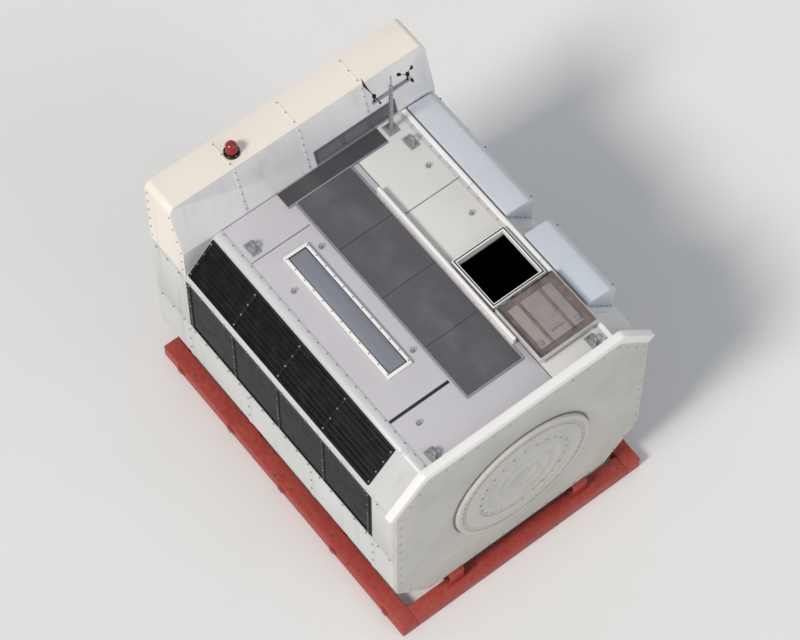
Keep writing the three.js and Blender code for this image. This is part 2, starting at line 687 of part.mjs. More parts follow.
// Weather mast with its instruments, and the warning light on the cooler
function instruments() {
  const group = new THREE.Group();
  const mast = new THREE.Group();
  mast.position.set(MAST_X, MAST_Y, ROOF_Z);
  const footSide = [-MAST_FOOT / 2, MAST_FOOT / 2];
  const foot = slab(footSide, footSide, [0, MAST_FOOT_THICK]);
  const post = barZ(MAST_R, [MAST_FOOT_THICK - WELD, MAST_HEIGHT], 0, 0, 12);
  const armWidth = [-MAST_ARM_THICK / 2, MAST_ARM_THICK / 2];
  const arm = slab(armWidth, [-MAST_ARM, MAST_ARM], [MAST_ARM_Z - MAST_ARM_THICK, MAST_ARM_Z]);
  const rod = barZ(ROD_R, [MAST_HEIGHT - WELD, MAST_HEIGHT + ROD_LENGTH], 0, 0, 8);
  add(mast, "weather_mast", steel(), join(foot, post, arm, rod));

  const stem = () => barZ(STEM_R, [0, HEAD_Z[0] + WELD], 0, 0, 10);
  const head = () => barZ(HEAD_R, HEAD_Z, 0, 0, 12);
  const cups = [0, 1, 2].flatMap((i) => {
    const angle = (2 * Math.PI * i) / 3;
    const height = [CUP_Z - SPOKE_HALF, CUP_Z + SPOKE_HALF];
    const spoke = slab([0, CUP_REACH], [-SPOKE_HALF, SPOKE_HALF], height).rotateZ(angle);
    const cup = new THREE.SphereGeometry(CUP_R, 10, 8);
    cup.translate(CUP_REACH * Math.cos(angle), CUP_REACH * Math.sin(angle), CUP_Z);
    return [spoke, cup];
  });
  const instrumentY = MAST_ARM - INSTRUMENT_INSET;
  const anemometer = join(stem(), head(), ...cups);
  add(mast, "anemometer", louvreBlack(), anemometer, [0, instrumentY, MAST_ARM_Z]);
  const boom = slab(VANE_NOSE, [-VANE_HALF, VANE_HALF], [CUP_Z - VANE_HALF, CUP_Z + VANE_HALF]);
  const vane = join(stem(), head(), boom, prismY(VANE_TAIL, [-TAIL_HALF, TAIL_HALF]));
  add(mast, "wind_vane", louvreBlack(), vane, [0, -instrumentY, MAST_ARM_Z]);
  group.add(mast);

  const lampOutline = LAMP_OUTLINE.map(([radius, height]) => new THREE.Vector2(radius, height));
  const lamp = new THREE.LatheGeometry(lampOutline, 20).rotateX(Math.PI / 2);
  add(group, "warning_light", lampRed(), lamp, [LAMP_X, LAMP_Y, ROOF_Z + COOLER_HEIGHT]);
  return group;
}

const root = new THREE.Group();
root.add(
  transportFrame(),
  drivetrainMounts(),
  housing(),
  roof(),
  roofFittings(),
  hatch(),
  cooler(),
  rearOutlet(),
  instruments(),
);

export default root;
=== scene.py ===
# %% [markdown]
# A wind turbine's machine house, or nacelle, stands on a steel frame for transport. The solid model
# gives the pieces, their places and the one hinge. This script gives them their looks. The first
# step loads that model. Nothing made here may make the object bigger.

import math

import bmesh
import bpy
from mathutils import Matrix, Vector


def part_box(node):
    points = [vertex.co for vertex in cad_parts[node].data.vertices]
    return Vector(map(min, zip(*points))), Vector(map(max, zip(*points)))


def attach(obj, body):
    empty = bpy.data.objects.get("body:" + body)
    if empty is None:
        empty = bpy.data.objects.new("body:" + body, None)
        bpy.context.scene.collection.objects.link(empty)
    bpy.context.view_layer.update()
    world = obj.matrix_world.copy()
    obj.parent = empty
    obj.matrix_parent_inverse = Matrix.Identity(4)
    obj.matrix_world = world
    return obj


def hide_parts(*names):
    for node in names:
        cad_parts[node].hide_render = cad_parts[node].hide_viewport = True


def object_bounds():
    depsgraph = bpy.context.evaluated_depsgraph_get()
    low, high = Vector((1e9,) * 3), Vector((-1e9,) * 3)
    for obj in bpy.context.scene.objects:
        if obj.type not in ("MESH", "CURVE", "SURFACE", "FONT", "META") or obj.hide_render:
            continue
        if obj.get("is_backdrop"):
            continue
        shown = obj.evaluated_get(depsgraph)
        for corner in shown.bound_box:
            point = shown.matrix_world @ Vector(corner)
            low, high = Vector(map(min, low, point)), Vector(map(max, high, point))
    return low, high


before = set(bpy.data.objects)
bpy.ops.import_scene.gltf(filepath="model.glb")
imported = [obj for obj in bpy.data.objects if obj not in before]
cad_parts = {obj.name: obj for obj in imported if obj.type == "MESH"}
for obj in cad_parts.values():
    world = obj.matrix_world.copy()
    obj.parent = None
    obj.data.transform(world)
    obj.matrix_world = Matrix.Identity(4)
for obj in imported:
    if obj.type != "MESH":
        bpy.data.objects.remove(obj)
scene = bpy.context.scene
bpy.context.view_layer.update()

# %% [markdown]
# Every later piece is placed from a few sizes. Most are read from the solid pieces' own corners, so
# that a change there moves the looks with it. Four numbers are corners of the housing's eight-sided
# section and can't be read from a box, so they are written here: half the width of its flat roof
# and of its flat floor, and the heights where the upright sides end.

# %% Read the housing's main sizes
HALF_ROOF = 1.55
HALF_FLOOR = 1.50
SHOULDER_Z = 3.41
BILGE_Z = 1.16
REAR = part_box("rear_wall")[0].x
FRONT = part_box("front_wall")[1].x
HALF_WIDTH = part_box("rear_wall")[1].y
FLOOR_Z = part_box("rear_wall")[0].z
ROOF_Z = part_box("roof_panel_main")[1].z
WAIST_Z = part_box("louvre_left")[0].z
EAVES_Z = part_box("louvre_left")[1].z
SEAM_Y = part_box("roof_panel_rear")[1].y
FLANGE_Z = sum(corner.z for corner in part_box("rotor_flange")) / 2
print("housing is", round(FRONT - REAR, 3), "m long and", round(2 * HALF_WIDTH, 3), "m wide")

# %% [markdown]
# Materials are built from nodes, and long rows of Math nodes are hard to read. This small class
# wraps one output socket, so that plain + - * write them. The reflected forms, such as rsub, let a
# number stand first, as in 1 - mask.

# %% A class for shader maths
class Wire:
    """One output socket. Arithmetic on it adds Math nodes."""

    def __init__(self, coat, socket):
        self.coat = coat
        self.socket = socket

    def math(self, operation, a, b=0.0):
        return self.coat.node("ShaderNodeMath", {"operation": operation}, {0: a, 1: b})

    def __add__(self, other):
        return self.math("ADD", self, other)

    __radd__ = __add__

    def __sub__(self, other):
        return self.math("SUBTRACT", self, other)

    def __rsub__(self, other):
        return self.math("SUBTRACT", other, self)

    def __mul__(self, other):
        return self.math("MULTIPLY", self, other)

    __rmul__ = __mul__

    def __abs__(self):
        return self.math("ABSOLUTE", self)

    def wave(self):
        return self.math("SINE", self)

    def between(self, low, high):
        """0 below low, 1 above high, and a smooth step from one to the other."""
        settings = {"interpolation_type": "SMOOTHSTEP"}
        sockets = {0: self, 1: low, 2: high, 3: 0.0, 4: 1.0}
        return self.coat.node("ShaderNodeMapRange", settings, sockets)


print("shader maths ready")

# %% [markdown]
# A second class holds one finish while it is built. Its node method adds any node, sets it up and
# plugs its sockets, and the methods below it are the few patterns that every finish here is made
# of. Only colour, roughness and bump change over a surface, because those can later be baked to
# pictures. What stays the same all over is set once, when the finish is begun.

# %% A class for a finish
class Coat:
    """A surface finish under construction, around one Principled shader."""

    def __init__(self, name, **constants):
        self.material = bpy.data.materials.new(name)
        self.material.use_nodes = True
        self.tree = self.material.node_tree
        self.shader = self.tree.nodes["Principled BSDF"]
        for socket, value in constants.items():
            self.shader.inputs[socket.replace("_", " ")].default_value = value

    def feed(self, socket, value):
        if isinstance(value, Wire):
            self.tree.links.new(value.socket, socket)
        else:
            needs_alpha = socket.type == "RGBA" and len(value) == 3
            socket.default_value = (*value, 1.0) if needs_alpha else value

    def node(self, kind, settings=None, sockets=None, output=0):
        made = self.tree.nodes.new(kind)
        for key, value in (settings or {}).items():
            setattr(made, key, value)
        for key, value in (sockets or {}).items():
            self.feed(made.inputs[key], value)
        return Wire(self, made.outputs[output])

    def place(self, stretch=(1, 1, 1)):
        at = self.node("ShaderNodeTexCoord", output="Object")
        return self.node("ShaderNodeMapping", {}, {"Vector": at, "Scale": stretch})

    def axes(self):
        at = self.place()
        return [self.node("ShaderNodeSeparateXYZ", {}, {0: at}, output=i) for i in range(3)]

    def steepness(self):
        """0 on level surfaces and 1 on upright ones."""
        normal = self.node("ShaderNodeNewGeometry", output="Normal")
        return 1 - abs(self.node("ShaderNodeSeparateXYZ", {}, {0: normal}, output=2))

    def noise(self, scale, detail=3.0, stretch=(1, 1, 1), roughness=0.55):
        sockets = {"Vector": self.place(stretch), "Scale": scale}
        sockets |= {"Detail": detail, "Roughness": roughness}
        return self.node("ShaderNodeTexNoise", {}, sockets)

    def cells(self, scale):
        return self.node("ShaderNodeTexVoronoi", {}, {"Vector": self.place(), "Scale": scale})

    def blend(self, base, over, share):
        sockets = {0: share, 6: base, 7: over}
        return self.node("ShaderNodeMix", {"data_type": "RGBA"}, sockets, output=2)

    def bump(self, height, distance, strength=1.0):
        sockets = {"Height": height, "Distance": distance, "Strength": strength}
        return self.node("ShaderNodeBump", {}, sockets)

    def finish(self, **links):
        for socket, value in links.items():
            self.feed(self.shader.inputs[socket.replace("_", " ")], value)
        return self.material


def darker(tone, share):
    return [channel * share for channel in tone]


print("finish class ready")

# %% [markdown]
# The housing is a glass-fibre laminate with a pale gel coat. Out of doors it loses its evenness:
# broad cloudy fading, thin rain streaks on the upright walls, splashed dirt near the bottom, and
# fine specks. Each is a noise pattern cut to a mask, and the masks are added up as dirt. All of it
# is kept faint, because the real one looks nearly plain. A very small bump gives the moulding's
# slight waviness.

# %% Gel coat
STREAK_STRETCH = (5.5, 5.5, 0.28)
SPLASH_HEIGHTS = (0.5, 1.5)
WAVE_DEPTH = 0.008


def gel_coat(name, clean, grime, rough=0.42, wear=1.0):
    coat = Coat(name, Coat_Weight=0.25, Coat_Roughness=0.25)
    height = coat.axes()[2]
    cloud = coat.noise(0.8, 4).between(0.35, 0.75)
    streak = coat.noise(1.0, 5, STREAK_STRETCH).between(0.52, 0.78) * coat.steepness()
    speck = coat.noise(38, 2).between(0.68, 0.8)
    splash = (1 - height.between(*SPLASH_HEIGHTS)) * coat.noise(3.5, 5).between(0.35, 0.7)
    dirt = (cloud * 0.16 + streak * 0.42 + speck * 0.2 + splash * 0.26) * wear
    waviness = coat.noise(1.6, 2) * 0.7 + coat.noise(170, 2) * 0.02
    return coat.finish(
        Base_Color=coat.blend(clean, grime, dirt),
        Roughness=dirt * 0.35 + rough,
        Normal=coat.bump(waviness, WAVE_DEPTH, 0.22),
    )


print("gel coat ready")

# %% [markdown]
# One white gel coat is given several tones here, which paint the light and shade that fall on it.
# The near half of the roof is a cool grey with a touch of lilac, painted shade, and the lane beside
# the hatch is warmer, painted light. The air hoods are bluish, painted shade. The cooler is cream,
# painted warm sunlight, with a whiter front, and the rim and the other raised trims are a brighter
# white, painted highlight. So one recipe is called with several pairs of colours, clean and grimy,
# and the rest stays the same.

# %% Whites of the housing
HULL = gel_coat("hull_gel_coat", (0.63, 0.64, 0.63), (0.33, 0.31, 0.27))
SHADED_ROOF = gel_coat("roof_gel_coat_painted_shade", (0.555, 0.535, 0.57), (0.36, 0.34, 0.32), 0.5, 0.9)
LIT_LANE = gel_coat("lane_gel_coat_painted_light", (0.7, 0.69, 0.66), (0.42, 0.39, 0.34), 0.5, 0.9)
SHADED_HOOD = gel_coat("hood_gel_coat_painted_shade", (0.585, 0.625, 0.675), (0.36, 0.35, 0.33), 0.45, 0.9)
SLOPE_WHITE = gel_coat("slope_gel_coat", (0.78, 0.775, 0.785), (0.42, 0.4, 0.37), 0.46, 0.9)
SUNLIT_CREAM = gel_coat("cooler_gel_coat_painted_sun", (0.89, 0.82, 0.73), (0.52, 0.46, 0.38), 0.46, 0.7)
RIM_HIGHLIGHT = gel_coat("rim_gel_coat_painted_highlight", (0.9, 0.885, 0.86), (0.48, 0.45, 0.4), 0.4, 0.45)
print("gel coats", [m.name for m in (HULL, SHADED_ROOF, LIT_LANE, SHADED_HOOD, SLOPE_WHITE, SUNLIT_CREAM, RIM_HIGHLIGHT)])

# %% [markdown]
# The front end is painted a warm matt grey, with soft smudges and marks that run downwards. The
# same recipe in darker tones gives the cooler's vent, whose dark stripe is partly painted shade,
# and the paler outer edges of the black louvre blades, which are a painted highlight.

# %% Matt paint
RUB_STRETCH = (9, 9, 1.2)


def matt_paint(name, tone, rough):
    coat = Coat(name)
    smudge = coat.noise(1.7, 5).between(0.4, 0.75)
    rub = coat.noise(1.0, 4, RUB_STRETCH).between(0.6, 0.8)
    colour = coat.blend(tone, darker(tone, 0.72), smudge * 0.35 + rub * 0.3)
    grain = coat.bump(coat.noise(120, 3), 0.001, 0.3)
    return coat.finish(Base_Color=colour, Roughness=smudge * 0.15 + rough, Normal=grain)


SLATE = matt_paint("slate_grey_paint", (0.13, 0.135, 0.155), 0.5)
LIP_HIGHLIGHT = matt_paint("black_lip_painted_highlight", (0.07, 0.073, 0.082), 0.45)
END_GREY = matt_paint("end_matt_grey", (0.59, 0.57, 0.515), 0.55)
print("matt paints", [m.name for m in (SLATE, LIP_HIGHLIGHT, END_GREY)])

# %% [markdown]
# Rolled steel beams carry a red primer that is dull and a little faded, has dust on its level
# faces, and is scuffed through to brown rust in small spots. Level faces are found by the surface's
# own direction, and the rust is also lowered a little by the bump, because the paint there is gone.

# %% Red primer
PRIMER_RED = (0.34, 0.032, 0.024)
FADED_RED = (0.42, 0.07, 0.05)
PALE_DUST = (0.4, 0.29, 0.23)
RUST_BROWN = (0.11, 0.045, 0.022)


def red_primer():
    coat = Coat("red_primer", Specular_IOR_Level=0.3)
    fade = coat.noise(2.2, 5).between(0.3, 0.75)
    colour = coat.blend(PRIMER_RED, FADED_RED, fade * 0.6)
    level = 1 - coat.steepness().between(0.15, 0.5)
    dust = level * coat.noise(13, 6).between(0.25, 0.8) * 0.16
    colour = coat.blend(colour, PALE_DUST, dust)
    spots = coat.noise(11, 6).between(0.66, 0.71) + coat.noise(40, 4).between(0.7, 0.74) * 0.7
    rust = spots.between(0, 1)
    colour = coat.blend(colour, RUST_BROWN, rust * 0.85)
    roughness = rust * 0.35 + dust * 0.3 + 0.42
    pitting = coat.bump(coat.noise(90, 3) * 0.25 - rust, 0.0012, 0.5)
    return coat.finish(Base_Color=colour, Roughness=roughness, Normal=pitting)


RED = red_primer()
print("primer", RED.name)

# %% [markdown]
# Castings get a rough grey paint over pitted iron. Sheet metal gets a black powder coat: nearly no
# colour, a fine orange-peel grain, and a haze of dust that makes it rougher where it lies.

# %% Paint on castings and on black sheet
CAST_GREY = (0.27, 0.28, 0.285)
CAST_STAIN = (0.17, 0.165, 0.155)
SHEET_BLACK = (0.004, 0.0045, 0.006)
SHEET_DUST = (0.03, 0.028, 0.026)


def cast_paint():
    coat = Coat("cast_grey_paint")
    pits = coat.noise(60, 5)
    stain = coat.noise(3, 5).between(0.4, 0.75)
    colour = coat.blend(CAST_GREY, CAST_STAIN, stain * 0.6)
    skin = coat.bump(pits, 0.002, 0.5)
    return coat.finish(Base_Color=colour, Roughness=stain * 0.2 + 0.45, Normal=skin)


def black_sheet():
    coat = Coat("black_powder_coat", Specular_IOR_Level=0.25)
    dust = coat.noise(6, 5).between(0.4, 0.8)
    colour = coat.blend(SHEET_BLACK, SHEET_DUST, dust * 0.5)
    grain = coat.bump(coat.noise(300, 2), 0.0004, 0.4)
    return coat.finish(Base_Color=colour, Roughness=dust * 0.25 + 0.42, Normal=grain)


CAST = cast_paint()
BLACK = black_sheet()
print("paints", [m.name for m in (CAST, BLACK)])

# %% [markdown]
# Bare metals: galvanised steel shows a patchwork of crystals, which a cell pattern gives. Rolled
# aluminium has fine lines along its length, so its noise is stretched along X. Machined faces, as
# on gear teeth, are brighter and smoother.

# %% Bare metals
ZINC_DARK = (0.33, 0.34, 0.35)
ZINC_LIGHT = (0.52, 0.53, 0.54)


def galvanised():
    coat = Coat("galvanised_steel", Metallic=0.85)
    crystal = coat.cells(55)
    cloud = coat.noise(9, 4).between(0.35, 0.75)
    colour = coat.blend(ZINC_DARK, ZINC_LIGHT, crystal * 0.7 + cloud * 0.3)
    facets = coat.bump(crystal, 0.0004, 0.3)
    return coat.finish(Base_Color=colour, Roughness=cloud * 0.2 + 0.38, Normal=facets)


def bright_metal(name, tone, stretch, rough):
    coat = Coat(name, Metallic=1.0)
    line = coat.noise(60, 2, stretch)
    stain = coat.noise(4, 4).between(0.45, 0.8)
    colour = coat.blend(tone, darker(tone, 0.6), stain * 0.6)
    roughness = line * 0.15 + stain * 0.2 + rough
    return coat.finish(Base_Color=colour, Roughness=roughness, Normal=coat.bump(line, 0.0003, 0.4))


ZINC = galvanised()
ALUMINIUM = bright_metal("rolled_aluminium", (0.55, 0.55, 0.56), (0.05, 6, 6), 0.32)
MACHINED = bright_metal("machined_steel", (0.42, 0.42, 0.42), (8, 8, 8), 0.3)
print("metals", [m.name for m in (ZINC, ALUMINIUM, MACHINED)])

# %% [markdown]
# The walkway has a gritty covering: sharp grains in dark resin, trodden paler along its middle. The
# grains could be tiny solids, but there are far too many. So they are the cells of a fine cell
# pattern, used for the bump and for a little of the colour.

# %% Grit of the walkways
TRODDEN = (0.05, 0.4)
PATCH_STRETCH = (1, 2.5, 1)


def grit(name, tone, pale):
    coat = Coat(name)
    grain = coat.cells(260)
    across = coat.axes()[1]
    worn = (1 - abs(across).between(*TRODDEN)) * coat.noise(2.5, 5).between(0.35, 0.7)
    patch = coat.noise(1.3, 5, PATCH_STRETCH).between(0.35, 0.7)
    colour = coat.blend(tone, pale, worn * 0.35 + patch * 0.16 + grain * 0.3)
    grains = coat.bump(grain, 0.002, 0.8)
    return coat.finish(Base_Color=colour, Roughness=0.92 - worn * 0.1, Normal=grains)


GRIT = grit("walkway_grit", (0.085, 0.08, 0.093), (0.17, 0.16, 0.17))
# The cross walkway's darker grit is painted shade at the foot of the cooler.
SHADED_GRIT = grit("cross_walkway_grit_painted_shade", (0.05, 0.047, 0.055), (0.11, 0.105, 0.11))
print("grits", [m.name for m in (GRIT, SHADED_GRIT)])

# %% [markdown]
# The lid's inner face is bare brown-grey laminate with the print of woven glass. The cabin's lining
# is foam with a waffle face, and its near-black tone is partly painted shade, which is why an open
# hatch looks like a black square. Both are regular patterns, so sine waves make them: two that
# cross every 7 mm for the cloth, and three at 70 mm for the waffle. A wave's rate is its distance
# turned to radians a metre.

# %% Bare laminate and foam
WEAVE_RATE = 900
WAFFLE_RATE = 90
RAW_BROWN = (0.15, 0.117, 0.11)
RESIN_PALE = (0.24, 0.2, 0.185)
FOAM_DARK = (0.008, 0.008, 0.009)
FOAM_PALE = (0.02, 0.02, 0.021)


def bare_laminate():
    coat = Coat("bare_laminate")
    x, y, _ = coat.axes()
    weave = (x * WEAVE_RATE).wave() * (y * WEAVE_RATE).wave()
    resin = coat.noise(7, 5).between(0.3, 0.75)
    colour = coat.blend(RAW_BROWN, RESIN_PALE, resin)
    cloth = coat.bump(weave, 0.0006, 0.4)
    return coat.finish(Base_Color=colour, Roughness=resin * 0.2 + 0.5, Normal=cloth)


def waffle_foam_and_shade():
    coat = Coat("black_foam_and_painted_shade")
    x, y, z = ((axis * WAFFLE_RATE).wave() for axis in coat.axes())
    waffle = x + y + z
    tone = coat.blend(FOAM_DARK, FOAM_PALE, coat.noise(4, 4))
    relief = coat.bump(waffle, 0.01, 0.8)
    return coat.finish(Base_Color=tone, Roughness=waffle * 0.02 + 0.9, Normal=relief)


LAMINATE = bare_laminate()
FOAM_AND_SHADE = waffle_foam_and_shade()
print("linings", [m.name for m in (LAMINATE, FOAM_AND_SHADE)])

# %% [markdown]
# Seals and stops are black rubber, and the joints of the roof are filled with a grey sealant. Both
# are dull, and a pale haze of chalk lies on them.

# %% Rubber and sealant
def plain_rubber(name, tone, rough):
    coat = Coat(name)
    haze = coat.noise(12, 4).between(0.4, 0.8)
    colour = coat.blend(tone, [channel * 2.2 + 0.01 for channel in tone], haze * 0.5)
    grain = coat.bump(coat.noise(150, 2), 0.0005, 0.3)
    return coat.finish(Base_Color=colour, Roughness=haze * 0.1 + rough, Normal=grain)


RUBBER = plain_rubber("black_rubber", (0.016, 0.016, 0.017), 0.6)
SEALANT = plain_rubber("grey_sealant", (0.14, 0.14, 0.145), 0.55)
print("rubbers", [m.name for m in (RUBBER, SEALANT)])

# %% [markdown]
# Two finishes let light through: the smoky acrylic of the roof light, and the red lens of the
# warning light. Only a share of their light goes through, so that they keep a colour of their own
# over the dark below them, which under the roof light is a sheet of painted shade, and a clear
# glossy coat lies over a faint haze. The lid's liner board is covered with a pale felt, whose nap
# is a fine noise.

# %% Acrylic, lens and felt
def tinted(name, tone, through, rough):
    coat = Coat(name, Transmission_Weight=through, IOR=1.49, Coat_Weight=0.6)
    haze = coat.noise(9, 4).between(0.35, 0.8)
    colour = coat.blend(tone, [channel * 0.7 + 0.08 for channel in tone], haze * 0.5)
    return coat.finish(Base_Color=colour, Roughness=haze * 0.15 + rough)


def felt(tone):
    coat = Coat("liner_felt")
    fibre = coat.noise(400, 3)
    stain = coat.noise(5, 5).between(0.4, 0.8)
    colour = coat.blend(tone, darker(tone, 0.65), stain * 0.5 + fibre * 0.2)
    nap = coat.bump(fibre, 0.0015, 0.5)
    return coat.finish(Base_Color=colour, Roughness=stain * 0.05 + 0.9, Normal=nap)


ACRYLIC = tinted("smoky_acrylic", (0.27, 0.28, 0.33), 0.2, 0.14)
LENS = tinted("red_lens", (0.5, 0.02, 0.015), 0.45, 0.1)
FELT = felt((0.34, 0.3, 0.28))
print("others", [m.name for m in (ACRYLIC, LENS, FELT)])

# %% [markdown]
# Next come the modelling helpers. A bmesh is Blender's editable mesh: an operator makes a simple
# shape in it, and others shape it further. This function turns a finished bmesh into an object. It
# rides on a body of the solid model, so that it moves with that body. Edges that fold more than the
# angle sharp stay crisp under smooth shading.

# %% Make a piece of a bmesh
HOUSING = "housing"
LID = "hatch_lid"


def piece(name, bm, materials, body=HOUSING, sharp=32):
    mesh = bpy.data.meshes.new(name)
    bm.to_mesh(mesh)
    bm.free()
    for material in materials if isinstance(materials, (list, tuple)) else [materials]:
        mesh.materials.append(material)
    mesh.shade_smooth()
    mesh.set_sharp_from_angle(angle=math.radians(sharp))
    made = bpy.data.objects.new(name, mesh)
    scene.collection.objects.link(made)
    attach(made, body)
    print(name, len(mesh.polygons), "faces")
    return made


print("pieces ride on", HOUSING, "or", LID)

# %% [markdown]
# Hardly any real edge is knife-sharp, and a rounded one catches the light, so edges get a bevel.
# Which edges need it is told by how far the two faces beside them fold: triangles of one flat face
# don't fold at all, a shell's long bend folds by some 45 degrees, and a cut edge by 90. One helper
# finds edges by their fold, in radians, and another bevels them.

# %% Find and soften edges
SHARP = 1.0


def folds(bm, least=SHARP, most=4.0):
    joints = [e for e in bm.edges if len(e.link_faces) == 2]
    return [e for e in joints if least < e.calc_face_angle() < most]


def soften(bm, edges, width, segments=2):
    bmesh.ops.bevel(
        bm,
        geom=list(edges),
        offset=width,
        offset_type="OFFSET",
        affect="EDGES",
        segments=segments,
        profile=0.5,
        material=-1,
        clamp_overlap=True,
    )


print("an edge counts as cut from", round(math.degrees(SHARP)), "degrees of fold")

# %% [markdown]
# Small hardware is made of two shapes: a block with softened edges, and a rod, which is a cylinder
# or a cone that stands on a point and looks along a direction. Each is added to a bmesh that may
# hold many more, because a hundred screws are one piece, and not a hundred.

# %% Blocks and rods
UP = (0, 0, 1)
MOST_OF_BLOCK = 0.3


def block(bm, low, high, edge=0.003, turn=None):
    low, high = Vector(low), Vector(high)
    size, centre = high - low, (low + high) / 2
    place = Matrix.Translation(centre) @ (turn or Matrix.Identity(4)) @ Matrix.Diagonal((*size, 1))
    made = bmesh.ops.create_cube(bm, size=1, matrix=place)
    if edge:
        edges = {e for v in made["verts"] for e in v.link_edges}
        soften(bm, edges, min(edge, min(size) * MOST_OF_BLOCK))


def facing(point, normal):
    return Matrix.Translation(point) @ Vector(normal).to_track_quat("Z", "Y").to_matrix().to_4x4()


def rod(bm, point, normal, radius, length, sides=12, top=None):
    bmesh.ops.create_cone(
        bm,
        cap_ends=True,
        segments=sides,
        radius1=radius,
        radius2=radius if top is None else top,
        depth=length,
        matrix=facing(point, normal) @ Matrix.Translation((0, 0, length / 2)),
    )


print("a block's bevel takes at most", MOST_OF_BLOCK, "of its thickness")

# %% [markdown]
# A bolt is a washer with a hexagon head on it. Its sizes are shares of the width across the head's
# flats, as on real bolts, and the corners of a hexagon reach 1.15 times as far as its flats. Rows
# of bolts are evenly spaced from end to end, so a second helper gives such a row of numbers.

# %% Bolts in rows
WASHER_THICKNESS = 0.14
WASHER_RADIUS = 0.95
HEAD_THICKNESS = 0.62
CORNER_REACH = 1.15


def bolt(bm, point, normal, flats):
    washer = flats * WASHER_THICKNESS
    on_washer = Vector(point) + Vector(normal) * washer
    rod(bm, point, normal, flats * WASHER_RADIUS, washer, 12)
    rod(bm, on_washer, normal, flats / 2 * CORNER_REACH, flats * HEAD_THICKNESS, 6)


def spaced(start, end, pitch):
    """Numbers from start to end, evenly spaced, about pitch apart."""
    count = max(1, round(abs(end - start) / pitch))
    return [start + (end - start) * i / count for i in range(count + 1)]


print("a metre of bolts 0.3 m apart:", [round(x, 3) for x in spaced(0, 1, 0.3)])

# %% [markdown]
# Round parts with a stepped profile, such as a flange or a lens, are spun: half of the profile is
# drawn as a closed outline, and the spin carries it once round the axis. The ends are merged where
# they meet, and the normals are worked out anew, because a spin can leave a shape inside out. The
# work is done in a bmesh of its own, which is then poured into the one that collects the piece.

# %% Turned shapes
def pour(bm, other):
    """Adds another bmesh to bm, and frees it."""
    held = bpy.data.meshes.new("held")
    other.to_mesh(held)
    other.free()
    bm.from_mesh(held)
    bpy.data.meshes.remove(held)


def turned(bm, outline, point, normal, steps=96):
    """Spins an outline of (radius, distance along the axis), closed unless it ends on the axis."""
    spun = bmesh.new()
    corners = [spun.verts.new((radius, 0, along)) for radius, along in outline]
    ends = corners[:1] if outline[0][0] or outline[-1][0] else []
    edges = [spun.edges.new((a, b)) for a, b in zip(corners, corners[1:] + ends)]
    bmesh.ops.spin(
        spun,
        geom=corners + edges,
        cent=(0, 0, 0),
        axis=UP,
        angle=2 * math.pi,
        steps=steps,
        use_merge=True,
    )
    bmesh.ops.remove_doubles(spun, verts=spun.verts, dist=1e-6)
    bmesh.ops.recalc_face_normals(spun, faces=spun.faces)
    bmesh.ops.transform(spun, matrix=facing(point, normal), verts=spun.verts)
    pour(bm, spun)


print("outlines can be turned")

# %% [markdown]
# A solid piece's own mesh is never changed. It is copied, its loose triangles are joined at their
# corners, and flat neighbours are dissolved into whole faces, so that only real edges are left to
# be rounded. A second helper tells which faces of a shell look into the cabin: those whose normal
# points back at the nearest place on the cabin's axis. They get the foam as a second material.

# %% Copies of solid pieces
WELD_DISTANCE = 2e-5
CABIN_AXIS_Z = 2.2
CABIN_HALF_LENGTH = 2.0
LOOKS_INWARDS = -0.1


def merged_copy(node):
    bm = bmesh.new()
    bm.from_mesh(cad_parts[node].data)
    bmesh.ops.remove_doubles(bm, verts=bm.verts, dist=WELD_DISTANCE)
    bmesh.ops.dissolve_limit(bm, angle_limit=math.radians(1), verts=bm.verts, edges=bm.edges)
    return bm


# Faces that look into the cabin take the near-black foam, which is partly painted shade.
def faces_cabin(face):
    at = face.calc_center_median()
    near_x = max(-CABIN_HALF_LENGTH, min(CABIN_HALF_LENGTH, at.x))
    return face.normal.dot(at - Vector((near_x, 0, CABIN_AXIS_Z))) < LOOKS_INWARDS


print("the cabin's axis is", CABIN_AXIS_Z, "m up and", 2 * CABIN_HALF_LENGTH, "m long")

# %% [markdown]
# The solid panels have knife-sharp corners, and laminate never does: its long bends have a wide
# radius, and its cut edges a small one. So a dressed copy gets three bevels. Bends that run
# lengthwise get a wide one, shallow folds a middling one, and cut edges a narrow one. The copy then
# takes the place of the solid piece in the picture.

# %% Dress a solid piece
BEND_REACH = 0.05
BEND_STEPS = 8
BEND_FOLD = (0.5, 0.95)
SHALLOW_FOLD = (0.25, 0.4)
SHALLOW_REACH = 0.012


def runs_along(edge):
    return abs(edge.verts[0].co.x - edge.verts[1].co.x) > 0.01


def dressed(node, materials, edge=0.006, bend=0.0, lined=False):
    bm = merged_copy(node)
    if bend:
        soften(bm, filter(runs_along, folds(bm, *BEND_FOLD)), bend, BEND_STEPS)
        soften(bm, folds(bm, *SHALLOW_FOLD), SHALLOW_REACH, 4)
    if edge:
        soften(bm, folds(bm), edge)
    if lined:
        for face in bm.faces:
            face.material_index = int(faces_cabin(face))
    made = piece(node + "_shell", bm, materials)
    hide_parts(node)
    return made


print("long bends start", BEND_REACH, "m from their corner")

# %% [markdown]
# The housing is bolted together from laminate mouldings: two lower hull halves, wall panels beside
# the louvres, two shoulders, roof panels and the two end walls. Each is dressed in gel coat
# outside, or in matt paint at the front end, and inside in near-black foam, which is partly painted
# shade. The raised rim at the front and the kerb beside the walkway are a brighter white, painted
# highlight, and the air hoods on the left shoulder are a bluish white, painted shade, with smaller
# bends.

# %% Dress the housing
HOOD_BEND = 0.03

for side in ("left", "right"):
    dressed(f"lower_hull_{side}", [HULL, FOAM_AND_SHADE], bend=BEND_REACH, lined=True)
    dressed(f"shoulder_{side}", [HULL, FOAM_AND_SHADE], bend=BEND_REACH, lined=True)
    for end in ("rear", "front"):
        dressed(f"side_wall_{side}_{end}", [HULL, FOAM_AND_SHADE], lined=True)
